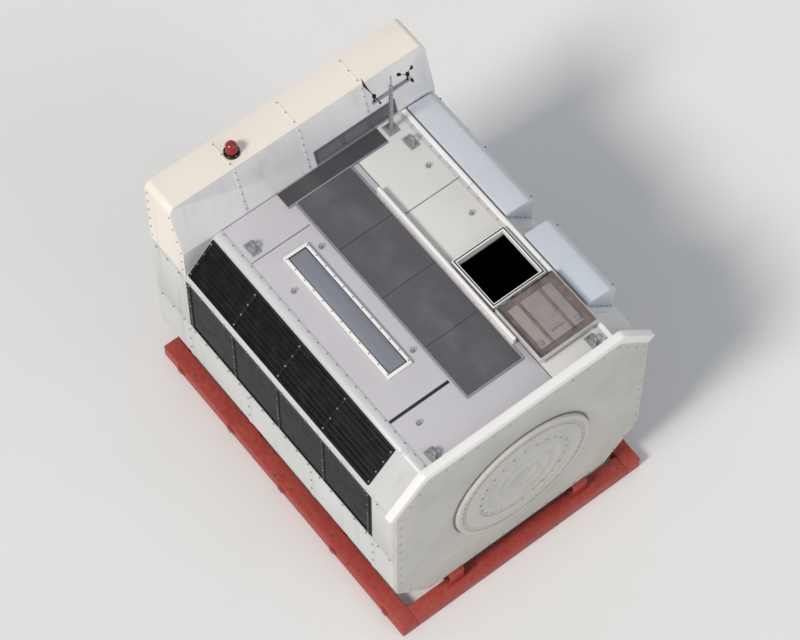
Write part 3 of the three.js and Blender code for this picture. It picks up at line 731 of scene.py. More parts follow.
# The main roof panel takes the painted shade, and the rear and front panels take the painted light.
for panel, outside in (("main", SHADED_ROOF), ("rear", LIT_LANE), ("front", LIT_LANE)):
    dressed(f"roof_panel_{panel}", [outside, FOAM_AND_SHADE], edge=0.004, lined=True)
dressed("rear_wall", [HULL, FOAM_AND_SHADE], bend=BEND_REACH, lined=True)
dressed("front_wall", [END_GREY, FOAM_AND_SHADE], bend=BEND_REACH, lined=True)
dressed("floor", [HULL, FOAM_AND_SHADE], edge=0.003, lined=True)
dressed("front_rim", RIM_HIGHLIGHT, edge=0.012, bend=BEND_REACH)
dressed("walkway_kerb", RIM_HIGHLIGHT, edge=0.008)
for end in ("rear", "front"):
    dressed(f"shoulder_hood_{end}", SHADED_HOOD, edge=0.014, bend=HOOD_BEND)

# %% [markdown]
# Many trims lie round the housing's section, and have to follow its rounded bends. A path of
# (y, z) points is enough to say where. One helper swaps its corners for curves, as the shells'
# bends are rounded. Another moves the whole path sideways, and keeps the distance at corners too.

# %% Paths round the section
def rounded(path, reach=BEND_REACH, steps=BEND_STEPS):
    """The path with curves for corners, which start and end at reach from them."""
    points = [Vector(p) for p in path]
    curved = [points[0]]
    for before, corner, after in zip(points, points[1:], points[2:]):
        start = corner + (before - corner).normalized() * reach
        end = corner + (after - corner).normalized() * reach
        for t in (i / steps for i in range(steps + 1)):
            curved.append(start * (1 - t) ** 2 + corner * 2 * t * (1 - t) + end * t ** 2)
    return curved + [points[-1]]


def beside(path, distance):
    """The path moved to its right by a distance."""
    points = [Vector(p) for p in path]
    sides = [Vector((b.y - a.y, a.x - b.x)).normalized() for a, b in zip(points, points[1:])]
    moved = []
    for i, point in enumerate(points):
        one, other = sides[max(i - 1, 0)], sides[min(i, len(sides) - 1)]
        moved.append(point + (one + other) * (distance / (1 + one.dot(other))))
    return moved


print("a right angle becomes", len(rounded([(0, 0), (1, 0), (1, 1)])), "points")

# %% [markdown]
# A bar along the housing is one outline, extruded along X, with its corners softened. A flat band
# that goes round the section is such a bar too, only short: its outline is a path moved out a
# little, and the same path moved in and read backwards.

# %% Bars and bands
BAR_CORNER = 0.6


def extruded(outline, along):
    """A closed bar with an outline of (x, y, z) points, carried along a vector."""
    bar = bmesh.new()
    face = bar.faces.new([bar.verts.new(corner) for corner in outline])
    grown = bmesh.ops.extrude_face_region(bar, geom=[face])["geom"]
    far = [g for g in grown if isinstance(g, bmesh.types.BMVert)]
    bmesh.ops.translate(bar, vec=along, verts=far)
    bmesh.ops.recalc_face_normals(bar, faces=bar.faces)
    return bar


def carried(bm, outline, x0, x1, edge=0.002):
    bar = extruded([(x0, y, z) for y, z in outline], (x1 - x0, 0, 0))
    if edge:
        soften(bar, folds(bar, BAR_CORNER), edge)
    pour(bm, bar)


def band(bm, path, x0, x1, proud=0.006, sunk=0.002, way=1):
    """A flat strip across the section, lying on a path that has the outside on its right."""
    outline = beside(path, proud) + beside(path, -sunk)[::-1]
    carried(bm, [(way * y, z) for y, z in outline], x0, x1)


print("bars and bands ready")

# %% [markdown]
# Where two mouldings meet, a flat cover strip hides the joint, and a row of bolts pulls it tight.
# Strips lie lengthwise at the waist and the eaves, and bands go round the hull and the shoulders.
# They stand only 6 mm proud, but their edges catch the light and make the big faces read as
# built-up panels. First come the sizes, and a helper that gives the lower and upper y of something
# on one side, where way is 1 on the left and -1 on the right.

# %% Sizes of the cover strips
SINK = 0.001
PROUD = 0.006
WAIST_STRIP = 0.08
EAVES_STRIP = 0.045
END_GAP = 0.07
HALF_BAND = 0.035
SEAM_STRIP = (SEAM_Y + 0.005, SEAM_Y + 0.045)
COOLER_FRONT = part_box("cooler_housing")[1].x
LOUVRE_REAR, LOUVRE_FRONT = (corner.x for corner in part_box("louvre_left"))
HOODS = [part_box("shoulder_hood_rear"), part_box("shoulder_hood_front")]
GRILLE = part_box("shoulder_grille")


def on_side(way, near, far):
    return sorted((way * near, way * far))


print("the louvres run from", round(LOUVRE_REAR, 3), "to", round(LOUVRE_FRONT, 3))

# %% [markdown]
# The long strips are plain blocks. The bands are laid on a path: round the bilge from the floor to
# the waist, and over the shoulder from the eaves to the roof's seam. All of them are let 1 or 2 mm
# into the shell, because faces that lie in one plane would flicker.

# %% Strips and bands of one side
def long_strips(strips, bolts, way):
    x0, x1 = REAR + END_GAP, FRONT - END_GAP
    inner, outer = on_side(way, HALF_WIDTH - SINK, HALF_WIDTH + PROUD)
    for low, high in ((WAIST_Z - WAIST_STRIP, WAIST_Z), (EAVES_Z, EAVES_Z + EAVES_STRIP)):
        block(strips, (x0, inner, low), (x1, outer, high), 0.002)
        for x in spaced(x0 + 0.06, x1 - 0.06, 0.25):
            at = (x, way * (HALF_WIDTH + PROUD), (low + high) / 2)
            bolt(bolts, at, (0, way, 0), 0.02)


def hull_bands(strips, bolts, way, places):
    under_waist = WAIST_Z - WAIST_STRIP - 0.002
    floor_edge, bilge = (HALF_FLOOR, FLOOR_Z + 0.01), (HALF_WIDTH, BILGE_Z)
    path = rounded([floor_edge, bilge, (HALF_WIDTH, under_waist)])
    for x in places:
        band(strips, path, x - HALF_BAND, x + HALF_BAND, PROUD, way=way)
        for z in spaced(BILGE_Z + 0.25, WAIST_Z - WAIST_STRIP - 0.1, 0.22):
            bolt(bolts, (x, way * (HALF_WIDTH + PROUD), z), (0, way, 0), 0.018)


def shoulder_bands(strips, way, places):
    over_eaves = (HALF_WIDTH, EAVES_Z + EAVES_STRIP + 0.002)
    by_seam = (SEAM_STRIP[1] + 0.002, ROOF_Z)
    path = rounded([over_eaves, (HALF_WIDTH, SHOULDER_Z), (HALF_ROOF, ROOF_Z), by_seam])
    for x in places:
        band(strips, path, x - HALF_BAND, x + HALF_BAND, PROUD, way=way)


print("strips and bands lie", SINK, "to 0.002 m deep in the shell")

# %% [markdown]
# Both sides have the same strips. Only the bands on the shoulders differ, because they have to
# stand clear of the air hoods on the left and of the grille on the right.

# %% Cover strips
HULL_BANDS_X = (LOUVRE_REAR - 0.02, -0.62, 0.75, LOUVRE_FRONT + 0.02)
BETWEEN_HOODS_X = (HOODS[0][1].x + HOODS[1][0].x) / 2
BEFORE_HOODS_X = HOODS[1][1].x + 0.15
BEFORE_GRILLE_X = GRILLE[1].x + 0.1


def cover_strips(side, way, shoulder_places):
    strips, bolts = bmesh.new(), bmesh.new()
    long_strips(strips, bolts, way)
    hull_bands(strips, bolts, way, HULL_BANDS_X)
    shoulder_bands(strips, way, shoulder_places)
    piece(f"cover_strips_{side}", strips, HULL)
    piece(f"cover_strip_bolts_{side}", bolts, ZINC)


cover_strips("left", 1, (BETWEEN_HOODS_X, BEFORE_HOODS_X))
cover_strips("right", -1, (BEFORE_GRILLE_X,))

# %% [markdown]
# The roof panels meet the shoulders in a long seam. A low strip covers it, held by small screws
# every 200 mm. It could be drawn in the finish, but a real ridge of 3 mm has its own shadow, which
# stays right from every side. The strips run from the cooler's foot to the front rim.

# %% Roof seams
SEAM_PROUD = 0.003
SEAM_SCREW_PITCH = 0.2
RIM_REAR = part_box("front_rim")[0].x


def roof_seams():
    strips, screws = bmesh.new(), bmesh.new()
    x0, x1, top = COOLER_FRONT + 0.01, RIM_REAR - 0.01, ROOF_Z + SEAM_PROUD
    for way in (1, -1):
        inner, outer = on_side(way, *SEAM_STRIP)
        block(strips, (x0, inner, ROOF_Z - SINK), (x1, outer, top), 0.001)
        for x in spaced(x0 + 0.06, x1 - 0.06, SEAM_SCREW_PITCH):
            bolt(screws, (x, way * sum(SEAM_STRIP) / 2, top), UP, 0.013)
    # The seam strips take the roof's gel coat with its painted shade.
    piece("roof_seam_strips", strips, SHADED_ROOF)
    piece("roof_seam_screws", screws, ZINC)


roof_seams()

# %% [markdown]
# Smaller joints on the roof are filled with a bead of grey sealant, a low ridge that runs along X
# or Y. Beads lie between the panels and along the foot of the hatch, the kerb, the cooler and the
# front rim. A soft block per bead is enough, because a real one is drawn flat with a finger.

# %% Sealant beads
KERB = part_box("walkway_kerb")
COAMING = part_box("hatch_coaming")
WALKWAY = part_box("walkway")
LANE_JOINT_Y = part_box("roof_panel_rear")[0].y
NEAR_BEAD_X = -1.25
LANE_BEAD_X = -0.62
BEAD = 0.014
THIN_BEAD = 0.008


def bead(bm, start, end, width=BEAD, height=0.003):
    """A low ridge on the roof from one (x, y) to another, along X or Y."""
    (x0, x1), (y0, y1) = (sorted(pair) for pair in zip(start, end))
    along_x = x1 - x0 > y1 - y0
    dx, dy = (0, width / 2) if along_x else (width / 2, 0)
    low, high = (x0 - dx, y0 - dy, ROOF_Z - SINK), (x1 + dx, y1 + dy, ROOF_Z + height)
    block(bm, low, high, 0.0015)


def panel_beads(bm):
    near_edge = -SEAM_STRIP[0] + 0.004
    bead(bm, (COOLER_FRONT + 0.005, LANE_JOINT_Y), (COAMING[0].x - 0.006, LANE_JOINT_Y))
    bead(bm, (COAMING[1].x + 0.006, LANE_JOINT_Y), (RIM_REAR - 0.005, LANE_JOINT_Y))
    bead(bm, (NEAR_BEAD_X, near_edge), (NEAR_BEAD_X, WALKWAY[0].y - 0.03))
    bead(bm, (LANE_BEAD_X, LANE_JOINT_Y + 0.01), (LANE_BEAD_X, SEAM_STRIP[0] - 0.004))


def beads_round_fittings(bm):
    for y in (COAMING[0].y - 0.005, COAMING[1].y + 0.005):
        bead(bm, (COAMING[0].x, y), (COAMING[1].x, y), 0.01)
    for x in (COAMING[0].x - 0.005, COAMING[1].x + 0.005):
        bead(bm, (x, COAMING[0].y), (x, COAMING[1].y), 0.01)
    for y in (KERB[0].y - 0.004, KERB[1].y + 0.004):
        bead(bm, (KERB[0].x, y), (KERB[1].x, y), THIN_BEAD, 0.004)
    for x in (RIM_REAR - 0.003, COOLER_FRONT + 0.003):
        bead(bm, (x, -SEAM_STRIP[0]), (x, SEAM_STRIP[0]), THIN_BEAD, 0.004)


beads = bmesh.new()
panel_beads(beads)
beads_round_fittings(beads)
piece("sealant_beads", beads, SEALANT)

# %% [markdown]
# In the photograph a dark line crosses the near half of the roof in front, wider than a bead. It is
# read as an open joint between two roof panels with a rubber in it, and made as one broad black
# bead.

# %% Dark roof joint
DARK_JOINT_X = 1.62
DARK_JOINT_WIDTH = 0.045

joint = bmesh.new()
joint_start = (DARK_JOINT_X, -SEAM_STRIP[0] + 0.004)
bead(joint, joint_start, (DARK_JOINT_X, WALKWAY[0].y - 0.03), DARK_JOINT_WIDTH, 0.004)
piece("roof_joint", joint, RUBBER)

# %% [markdown]
# A raised white moulding runs along the left roof edge, between the seam and the air hoods, and
# shows as a bright line in the photograph. It is a bar with a sloping top, carried along X in
# lengths of about 1.4 m with a small gap at each joint.

# %% Roof edge rail
RAIL_WIDTH = 0.07
RAIL_LENGTH = 1.4
RAIL_GAP = 0.003


def roof_edge_rail():
    bm = bmesh.new()
    y0 = SEAM_STRIP[1] + 0.004
    y1 = y0 + RAIL_WIDTH
    feet = [(y0, ROOF_Z - 0.002), (y1, ROOF_Z - 0.02)]
    tops = [(y1 - 0.008, ROOF_Z + 0.036), (y0 + 0.01, ROOF_Z + 0.04)]
    joints = spaced(COOLER_FRONT + 0.02, RIM_REAR - 0.01, RAIL_LENGTH)
    for x0, x1 in zip(joints, joints[1:]):
        carried(bm, feet + tops, x0 + RAIL_GAP, x1 - RAIL_GAP, 0.006)
    # The rail takes the rim's brighter white, which is a painted highlight.
    piece("roof_edge_rail", bm, RIM_HIGHLIGHT)


roof_edge_rail()

# %% [markdown]
# The two end walls are held by bolts all round, 60 mm in from their edge. A helper walks along half
# of the eight-sided outline and gives evenly spaced points, so the pitch stays the same on long and
# short sides. Each point also gives its mirror image.

# %% Bolts round the end walls
HALF_OCTAGON = [
    (0, FLOOR_Z),
    (HALF_FLOOR, FLOOR_Z),
    (HALF_WIDTH, BILGE_Z),
    (HALF_WIDTH, SHOULDER_Z),
    (HALF_ROOF, ROOF_Z),
    (0, ROOF_Z),
]
BOLT_INSET = 0.06
BOLT_PITCH = 0.24


def walk(path, pitch):
    """Evenly spaced points along each leg of a (y, z) path."""
    for start, end in zip(path, path[1:]):
        count = max(1, round((end - start).length / pitch))
        for i in range(count):
            yield start + (end - start) * (i / count)


def wall_bolts(name, x, way):
    bm = bmesh.new()
    for at in walk(beside(HALF_OCTAGON, -BOLT_INSET), BOLT_PITCH):
        for y in {at.x, -at.x}:
            bolt(bm, (x, y, at.y), (way, 0, 0), 0.018)
    piece(name, bm, ZINC)


wall_bolts("front_wall_bolts", FRONT, 1)
wall_bolts("rear_wall_bolts", REAR, -1)

# %% [markdown]
# Each louvre is folded black sheet. Its blades are real slopes in the solid model and only get
# their finish and slightly rounded lips here. The outer edge of each blade is painted paler, a
# painted highlight where light catches the lips, which is why a louvre shows as fine pale lines.
# Those faces are found by their direction and their small height, and they take a second material.

# %% Louvres with painted highlights on their lips
SIDES = (("left", 1), ("right", -1))
LIP_HEIGHT = 0.03


def louvre_with_lit_lips(node, outward, edge):
    shell = dressed(node, [BLACK, LIP_HIGHLIGHT], edge=edge)
    corners = shell.data.vertices
    for face in shell.data.polygons:
        heights = [corners[i].co.z for i in face.vertices]
        looks_out = face.normal.dot(Vector(outward)) > 0.9
        face.material_index = int(looks_out and max(heights) - min(heights) < LIP_HEIGHT)
    print(node, sum(face.material_index for face in shell.data.polygons), "lip faces with painted highlight")


for side, way in SIDES:
    louvre_with_lit_lips(f"louvre_{side}", (0, way, 0), 0.0015)

# %% [markdown]
# Round each louvre goes a frame of flat bar, with a mullion about every metre, screwed on. The
# uprights run from bottom to top, and the level bars are cut to fit between them, as on a real
# frame, so no two bars lie in one another.

# %% Louvre frames
LOUVRE_BAR = 0.045
LOUVRE_PROUD = 0.008
MULLION_PITCH = 0.95
SCREW = 0.013


def louvre_frame(side, way):
    bm, screws = bmesh.new(), bmesh.new()
    face, half = HALF_WIDTH + LOUVRE_PROUD, LOUVRE_BAR / 2
    inner, outer = on_side(way, HALF_WIDTH - 0.02, face)
    bottom, top = WAIST_Z + 0.004, EAVES_Z - 0.004
    uprights = spaced(LOUVRE_REAR + half + 0.05, LOUVRE_FRONT - half - 0.05, MULLION_PITCH)
    for x in uprights:
        block(bm, (x - half, inner, bottom), (x + half, outer, top), 0.002)
        for z in spaced(WAIST_Z + 0.05, EAVES_Z - 0.05, 0.28):
            bolt(screws, (x, way * face, z), (0, way, 0), SCREW)
    for z in (bottom, top - LOUVRE_BAR):
        for x0, x1 in zip(uprights, uprights[1:]):
            block(bm, (x0 + half, inner, z), (x1 - half, outer, z + LOUVRE_BAR), 0.002)
    piece(f"louvre_frame_{side}", bm, BLACK)
    piece(f"louvre_screws_{side}", screws, ZINC)


for side, way in SIDES:
    louvre_frame(side, way)

# %% [markdown]
# A grille stands on the right shoulder and air hoods on the left one, and both shoulders slope.
# What lies on a slope is easiest to place by a distance up it and a height above it. So a helper
# gives the two directions of any slope in the section, and the shoulder's own are kept.

# %% Directions on a slope
SHOULDER_FOOT = Vector((HALF_WIDTH, SHOULDER_Z))
SHOULDER_HEAD = Vector((HALF_ROOF, ROOF_Z))


def up_and_out(low, high):
    """Unit (y, z) vectors up a slope on the left side, and square to it outwards."""
    up = (high - low).normalized()
    return up, Vector((up.y, -up.x))


SHOULDER_UP, SHOULDER_OUT = up_and_out(SHOULDER_FOOT, SHOULDER_HEAD)
print("the shoulders slope by", round(math.degrees(SHOULDER_UP.angle(Vector((-1, 0))))), "degrees")

# %% [markdown]
# The grille shows as a dark zone beside the near roof edge in the photograph. It has a frame of
# flat bar, and thin slats that lean out of it. Both are worked out as if for the left side, and
# their y is turned round at the end. A slat is four points carried along X, with no bevel, because
# it is only 3 mm thick.

# %% Bars and slats of the shoulder grille
GRILLE_HEIGHT = 0.03
GRILLE_SHARES = (0.08, 0.92)
BAR_TOP = GRILLE_HEIGHT + 0.006
SLAT_PITCH = 0.036
SLAT_THICKNESS = 0.003


def on_right(points):
    return [(-point.x, point.y) for point in points]


def grille_bar(bm, start, end, x0, x1):
    bottom, top = SHOULDER_OUT * 0.004, SHOULDER_OUT * BAR_TOP
    corners = [start + bottom, end + bottom, end + top, start + top]
    carried(bm, on_right(corners), x0, x1, 0.0015)


def grille_slats(bm, low, length, x0, x1):
    thick = SHOULDER_UP * SLAT_THICKNESS
    for along in spaced(0.04, length - 0.05, SLAT_PITCH):
        base = low + SHOULDER_UP * along + SHOULDER_OUT * (GRILLE_HEIGHT - 0.014)
        tip = base + SHOULDER_OUT * 0.017 + SHOULDER_UP * 0.008
        carried(bm, on_right([base, base + thick, tip + thick, tip]), x0, x1, 0)


print("the grille's slats are", SLAT_PITCH, "m apart")

# %% [markdown]
# The solid grille gets its black finish. The frame goes on it: a bar along the foot, one along the
# head, the slats between them, and uprights with a row of screws.

# %% Grille on the right shoulder
def grille_frame():
    bm, screws = bmesh.new(), bmesh.new()
    low, high = (SHOULDER_FOOT.lerp(SHOULDER_HEAD, share) for share in GRILLE_SHARES)
    up, out, half = SHOULDER_UP, SHOULDER_OUT, LOUVRE_BAR / 2
    length = (high - low).length
    x0, x1 = GRILLE[0].x, GRILLE[1].x
    grille_bar(bm, low - up * 0.004, low + up * 0.02, x0, x1)
    grille_bar(bm, high - up * 0.02, high + up * 0.004, x0, x1)
    grille_slats(bm, low, length, x0, x1)
    for x in spaced(x0 + half, x1 - half, MULLION_PITCH):
        grille_bar(bm, low + up * 0.021, high - up * 0.021, x - half, x + half)
        for along in spaced(0.05, length - 0.05, 0.17):
            at = low + up * along + out * BAR_TOP
            bolt(screws, (x, -at.x, at.y), (0, -out.x, out.y), SCREW)
    piece("grille_frame", bm, BLACK)
    piece("grille_screws", screws, ZINC)


dressed("shoulder_grille", BLACK, edge=0.001)
grille_frame()

# %% [markdown]
# The two air hoods are closed mouldings whose outer face stands nearly upright. That face carries a
# black panel with drip blades, and flat bars with a screw at each end hold the blades. The two
# ends of the face are corners of the hoods' outline in the solid model, so they are written here.

# %% Grilles on the air hoods
HOOD_FACE = (Vector((2.027, 3.49)), Vector((2.043, 3.83)))
HOOD_MARGIN = 0.09
BLADE_PITCH = 0.042
HOLDER_HALF = 0.014
HOLDER_PROUD = 0.02


def hood_grilles():
    blades, screws = bmesh.new(), bmesh.new()
    low, high = HOOD_FACE
    up, out = up_and_out(low, high)
    holder = [low - up * 0.012, high + up * 0.012]
    for hood in HOODS:
        x0, x1 = hood[0].x + HOOD_MARGIN, hood[1].x - HOOD_MARGIN
        band(blades, [low, high], x0, x1, 0.003, SINK)
        for along in spaced(0.0, (high - low).length, BLADE_PITCH):
            foot = low + up * along
            lip = [foot + out * 0.016 - up * 0.012, foot + out * 0.018 - up * 0.01]
            blade = [foot] + lip + [foot + up * 0.003]
            carried(blades, [tuple(corner) for corner in blade], x0, x1, 0)
        for x in spaced(x0, x1, 0.9):
            band(blades, holder, x - HOLDER_HALF, x + HOLDER_HALF, HOLDER_PROUD, SINK)
            for at in (low + out * HOLDER_PROUD, high + out * HOLDER_PROUD):
                bolt(screws, (x, at.x, at.y), (0, out.x, out.y), SCREW)
    piece("hood_grilles", blades, BLACK)
    piece("hood_screws", screws, ZINC)


hood_grilles()

# %% [markdown]
# Flat flanges beside the hoods' ends screw them to the shoulder. Raised ribs cross the hoods'
# backs, and keep so thin a moulding from drumming in the wind. Both are bands: a flange lies
# straight on the slope, and a rib follows the hood's bends.

# %% Flanges and ribs of the air hoods
# The flanges and ribs take the hoods' bluish white, which is painted shade.
FLANGE_WIDTH = 0.04
FLANGE_PROUD = 0.005
RIB_HALF = 0.025
HOOD_SIDE_Z = 3.88
HOOD_BROW = (1.95, 3.97)


def hood_flanges():
    bm, screws = bmesh.new(), bmesh.new()
    slope = [SHOULDER_FOOT.lerp(SHOULDER_HEAD, share) for share in (0.1, 0.9)]
    facing_out = (0, SHOULDER_OUT.x, SHOULDER_OUT.y)
    for x0 in (HOODS[0][1].x, HOODS[1][0].x - FLANGE_WIDTH, HOODS[1][1].x):
        band(bm, slope, x0, x0 + FLANGE_WIDTH, FLANGE_PROUD)
        for share in spaced(0.14, 0.86, 0.18):
            at = SHOULDER_FOOT.lerp(SHOULDER_HEAD, share) + SHOULDER_OUT * FLANGE_PROUD
            bolt(screws, (x0 + FLANGE_WIDTH / 2, at.x, at.y), facing_out, 0.014)
    piece("hood_flanges", bm, SHADED_HOOD)
    piece("hood_flange_screws", screws, ZINC)


def hood_ribs():
    bm = bmesh.new()
    side_y, top_z = HOODS[0][1].y, HOODS[0][1].z
    upright = [(side_y, HOOD_SIDE_Z - 0.04), (side_y, HOOD_SIDE_Z)]
    path = rounded(upright + [HOOD_BROW, (HALF_ROOF + 0.06, top_z)], HOOD_BEND)
    for hood in HOODS:
        for x in spaced(hood[0].x, hood[1].x, 0.65)[1:-1]:
            band(bm, path, x - RIB_HALF, x + RIB_HALF, FLANGE_PROUD)
    piece("hood_ribs", bm, SHADED_HOOD)


hood_flanges()
hood_ribs()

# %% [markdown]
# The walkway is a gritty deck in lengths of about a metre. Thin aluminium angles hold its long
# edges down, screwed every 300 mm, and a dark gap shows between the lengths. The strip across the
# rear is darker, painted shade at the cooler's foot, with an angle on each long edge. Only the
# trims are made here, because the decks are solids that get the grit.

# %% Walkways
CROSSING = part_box("cross_walkway")
TRIM = 0.026
CROSSING_TRIM = 0.02
TRIM_PROUD = 0.004
DECK_LENGTH = 0.95
HALF_DECK_GAP = 0.004


def walkway_trims(trims, screws):
    low, high = WALKWAY
    bottom, top = high.z - SINK, high.z + TRIM_PROUD
    for y in (low.y, high.y - TRIM):
        block(trims, (low.x, y, bottom), (high.x, y + TRIM, top), 0.001)
        for x in spaced(low.x + 0.08, high.x - 0.08, 0.3):
            bolt(screws, (x, y + TRIM / 2, top), UP, 0.011)
    block(trims, (high.x - TRIM, low.y + TRIM, bottom), (high.x, high.y - TRIM, top), 0.001)


def crossing_trims(trims):
    low, high = CROSSING
    for x in (low.x, high.x - CROSSING_TRIM):
        near = (x, low.y, high.z - SINK)
        block(trims, near, (x + CROSSING_TRIM, high.y, high.z + TRIM_PROUD), 0.001)


def deck_gaps():
    bm = bmesh.new()
    low, high = WALKWAY
    y0, y1 = low.y + TRIM, high.y - TRIM
    for x in spaced(low.x, high.x, DECK_LENGTH)[1:-1]:
        near, far = x - HALF_DECK_GAP, x + HALF_DECK_GAP
        block(bm, (near, y0, high.z - SINK), (far, y1, high.z + 0.001), 0)
    piece("deck_gaps", bm, RUBBER)


dressed("walkway", GRIT, edge=0.003)
dressed("cross_walkway", SHADED_GRIT, edge=0.003)
deck_trims, deck_screws = bmesh.new(), bmesh.new()
walkway_trims(deck_trims, deck_screws)
crossing_trims(deck_trims)
piece("deck_trims", deck_trims, ALUMINIUM)
piece("deck_screws", deck_screws, ZINC)
deck_gaps()

# %% [markdown]
# The hatch frame, or coaming, carries a black rubber seal on its top edge, made of four strips. The
# hinge is one galvanised plate with two arms, and its plate is screwed to the coaming. A block of
# rubber on the roof takes the open lid's weight.

# %% Hatch frame, seal and hinge
HATCH = (COAMING[0] + COAMING[1]) / 2
HATCH_CLEAR = 0.38
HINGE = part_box("hatch_hinge")
HINGE_PLATE = 0.008
SEAL_REACH = HATCH_CLEAR + 0.025
SEAL_HALF = 0.009


def hatch_seal():
    """The strips that lie along X reach over the ends of the other two."""
    bm = bmesh.new()
    long, short = SEAL_REACH + SEAL_HALF, SEAL_REACH - SEAL_HALF
    for way in (1, -1):
        crosswise = (way * SEAL_REACH, 0, SEAL_HALF, short)
        lengthwise = (0, way * SEAL_REACH, long, SEAL_HALF)
        for dx, dy, half_x, half_y in (crosswise, lengthwise):
            x, y = HATCH.x + dx, HATCH.y + dy
            low = (x - half_x, y - half_y, COAMING[1].z - SINK)
            block(bm, low, (x + half_x, y + half_y, COAMING[1].z + 0.003), 0.0015)
    piece("hatch_seal", bm, RUBBER)


def hinge_screws():
    bm = bmesh.new()
    for y in spaced(HINGE[0].y + 0.04, HINGE[1].y - 0.04, 0.16):
        for z in (HINGE[0].z + 0.014, HINGE[0].z + 0.05):
            bolt(bm, (COAMING[1].x + HINGE_PLATE, y, z), (1, 0, 0), SCREW)
    piece("hinge_screws", bm, ZINC)


# The coaming takes the rim's brighter white, which is a painted highlight.
dressed("hatch_coaming", RIM_HIGHLIGHT, edge=0.008)
dressed("hatch_hinge", ZINC, edge=0.0015)
dressed("lid_rest", RUBBER, edge=0.006)
hatch_seal()
hinge_screws()

# %% [markdown]
# The open lid shows its inner side, which is why it looks brown instead of white: it is raw
# laminate. Its outer skin has the gel coat, so the faces that point down, or outwards at the edge,
# take the second material. The shell and everything on it ride on the lid's body, and turn with it.

# %% Lid
LID_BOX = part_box("roof_hatch_lid")
LID_HALF = (LID_BOX[1].y - LID_BOX[0].y) / 2
LID_MIDDLE_X = LID_BOX[1].x - LID_HALF
LID_FLOOR = LID_BOX[1].z - 0.055
EDGE_DEPTH = 0.004


def is_outer_skin(face):
    at = face.calc_center_median()
    on_end = at.x > LID_BOX[1].x - EDGE_DEPTH
    on_flank = abs(at.y - HATCH.y) > LID_HALF - EDGE_DEPTH
    return face.normal.z < -0.3 or on_end or on_flank


def lid_shell():
    bm = merged_copy("roof_hatch_lid")
    soften(bm, folds(bm), 0.005)
    for face in bm.faces:
        face.material_index = int(is_outer_skin(face))
    shell = piece("roof_hatch_lid_shell", bm, [LAMINATE, HULL], LID)
    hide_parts("roof_hatch_lid")


lid_shell()

# %% [markdown]
# Inside, a paler liner board covers the lid's middle, and two ribs across it hold it down. The
# photograph shows the lid's rim darker than its middle, and this is why. The handle is a bar on two
# posts with round feet, and beside it sit two catches that grip the coaming when the lid is shut.

# %% Liner and handle
LINER_HALF = HATCH_CLEAR - 0.035
RIB_REACH = 0.17
HANDLE_X = LID_MIDDLE_X + 0.22
HANDLE_REACH = 0.085
HANDLE_ROD = 0.008
POST_FOOT = LID_FLOOR + 0.012
CATCH_REACH = 0.3
CATCH_TOP = LID_FLOOR + 0.03


def lid_liner():
    board, ribs = bmesh.new(), bmesh.new()
    x0, x1 = LID_MIDDLE_X - LINER_HALF, LID_MIDDLE_X + LINER_HALF
    y0, y1 = HATCH.y - LINER_HALF, HATCH.y + LINER_HALF
    block(board, (x0, y0, LID_FLOOR - SINK), (x1, y1, LID_FLOOR + 0.014), 0.005)
    for y in (HATCH.y - RIB_REACH, HATCH.y + RIB_REACH):
        low = (x0 - 0.01, y - 0.02, LID_FLOOR)
        block(ribs, low, (x1 + 0.01, y + 0.02, LID_FLOOR + 0.026), 0.006)
    piece("lid_liner_board", board, FELT, LID)
    piece("lid_ribs", ribs, LAMINATE, LID)


def lid_handle():
    bm = bmesh.new()
    x = HANDLE_X
    for y in (HATCH.y - 0.075, HATCH.y + 0.075):
        rod(bm, (x, y, POST_FOOT), UP, 0.018, 0.004, 16)
        rod(bm, (x, y, POST_FOOT), UP, HANDLE_ROD, 0.04)
    start = (x, HATCH.y - HANDLE_REACH, LID_FLOOR + 0.052)
    rod(bm, start, (0, 1, 0), HANDLE_ROD, 2 * HANDLE_REACH)
    for y in (HATCH.y - CATCH_REACH, HATCH.y + CATCH_REACH):
        block(bm, (x + 0.03, y - 0.03, LID_FLOOR), (x + 0.09, y + 0.03, CATCH_TOP), 0.004)
        rod(bm, (x + 0.06, y, CATCH_TOP), UP, 0.014, 0.008, 16)
    piece("lid_handle", bm, ZINC, LID)


lid_liner()
lid_handle()

# %% [markdown]
# The outer skin faces down while the lid is open, and shows only when it is shut. A raised panel
# stiffens it, and two grips near the free edge are there to lift it by. They are made upside down,
# below the skin, because the pose that the script builds is the open one.

# %% Outside of the lid
SKIN_Z = LID_BOX[0].z
PANEL_HALF_Y = 0.34
GRIP_PLACES = (HATCH.y - 0.2, HATCH.y + 0.2)
GRIP_ROD = 0.007
GRIP_HALF = 0.066
DOWN = (0, 0, -1)


def lid_outside():
    panel, grips = bmesh.new(), bmesh.new()
    x0, x1 = LID_MIDDLE_X - 0.32, LID_MIDDLE_X + 0.22
    low = (x0, HATCH.y - PANEL_HALF_Y, SKIN_Z - 0.007)
    block(panel, low, (x1, HATCH.y + PANEL_HALF_Y, SKIN_Z + 0.002), 0.004)
    x = x1 - 0.07
    for y in GRIP_PLACES:
        for dy in (-0.06, 0.06):
            rod(grips, (x, y + dy, SKIN_Z - 0.006), DOWN, GRIP_ROD, 0.024, 10)
        rod(grips, (x, y - GRIP_HALF, SKIN_Z - 0.03), (0, 1, 0), GRIP_ROD, 2 * GRIP_HALF, 10)
    piece("lid_outer_panel", panel, HULL, LID)
    piece("lid_grips", grips, ZINC, LID)


lid_outside()

# %% [markdown]
# The roof light is a blown acrylic pane, low and domed, in a moulded frame. A dome on a rectangle
# can't be spun. So a grid is lifted by a smooth function of its two directions, which is zero along
# all four edges, so that it always meets the frame. It is then given a wall of 5 mm.

# %% Roof light
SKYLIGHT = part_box("skylight_frame")
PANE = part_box("skylight_pane")
DOME = 0.045
PANE_THICKNESS = 0.005


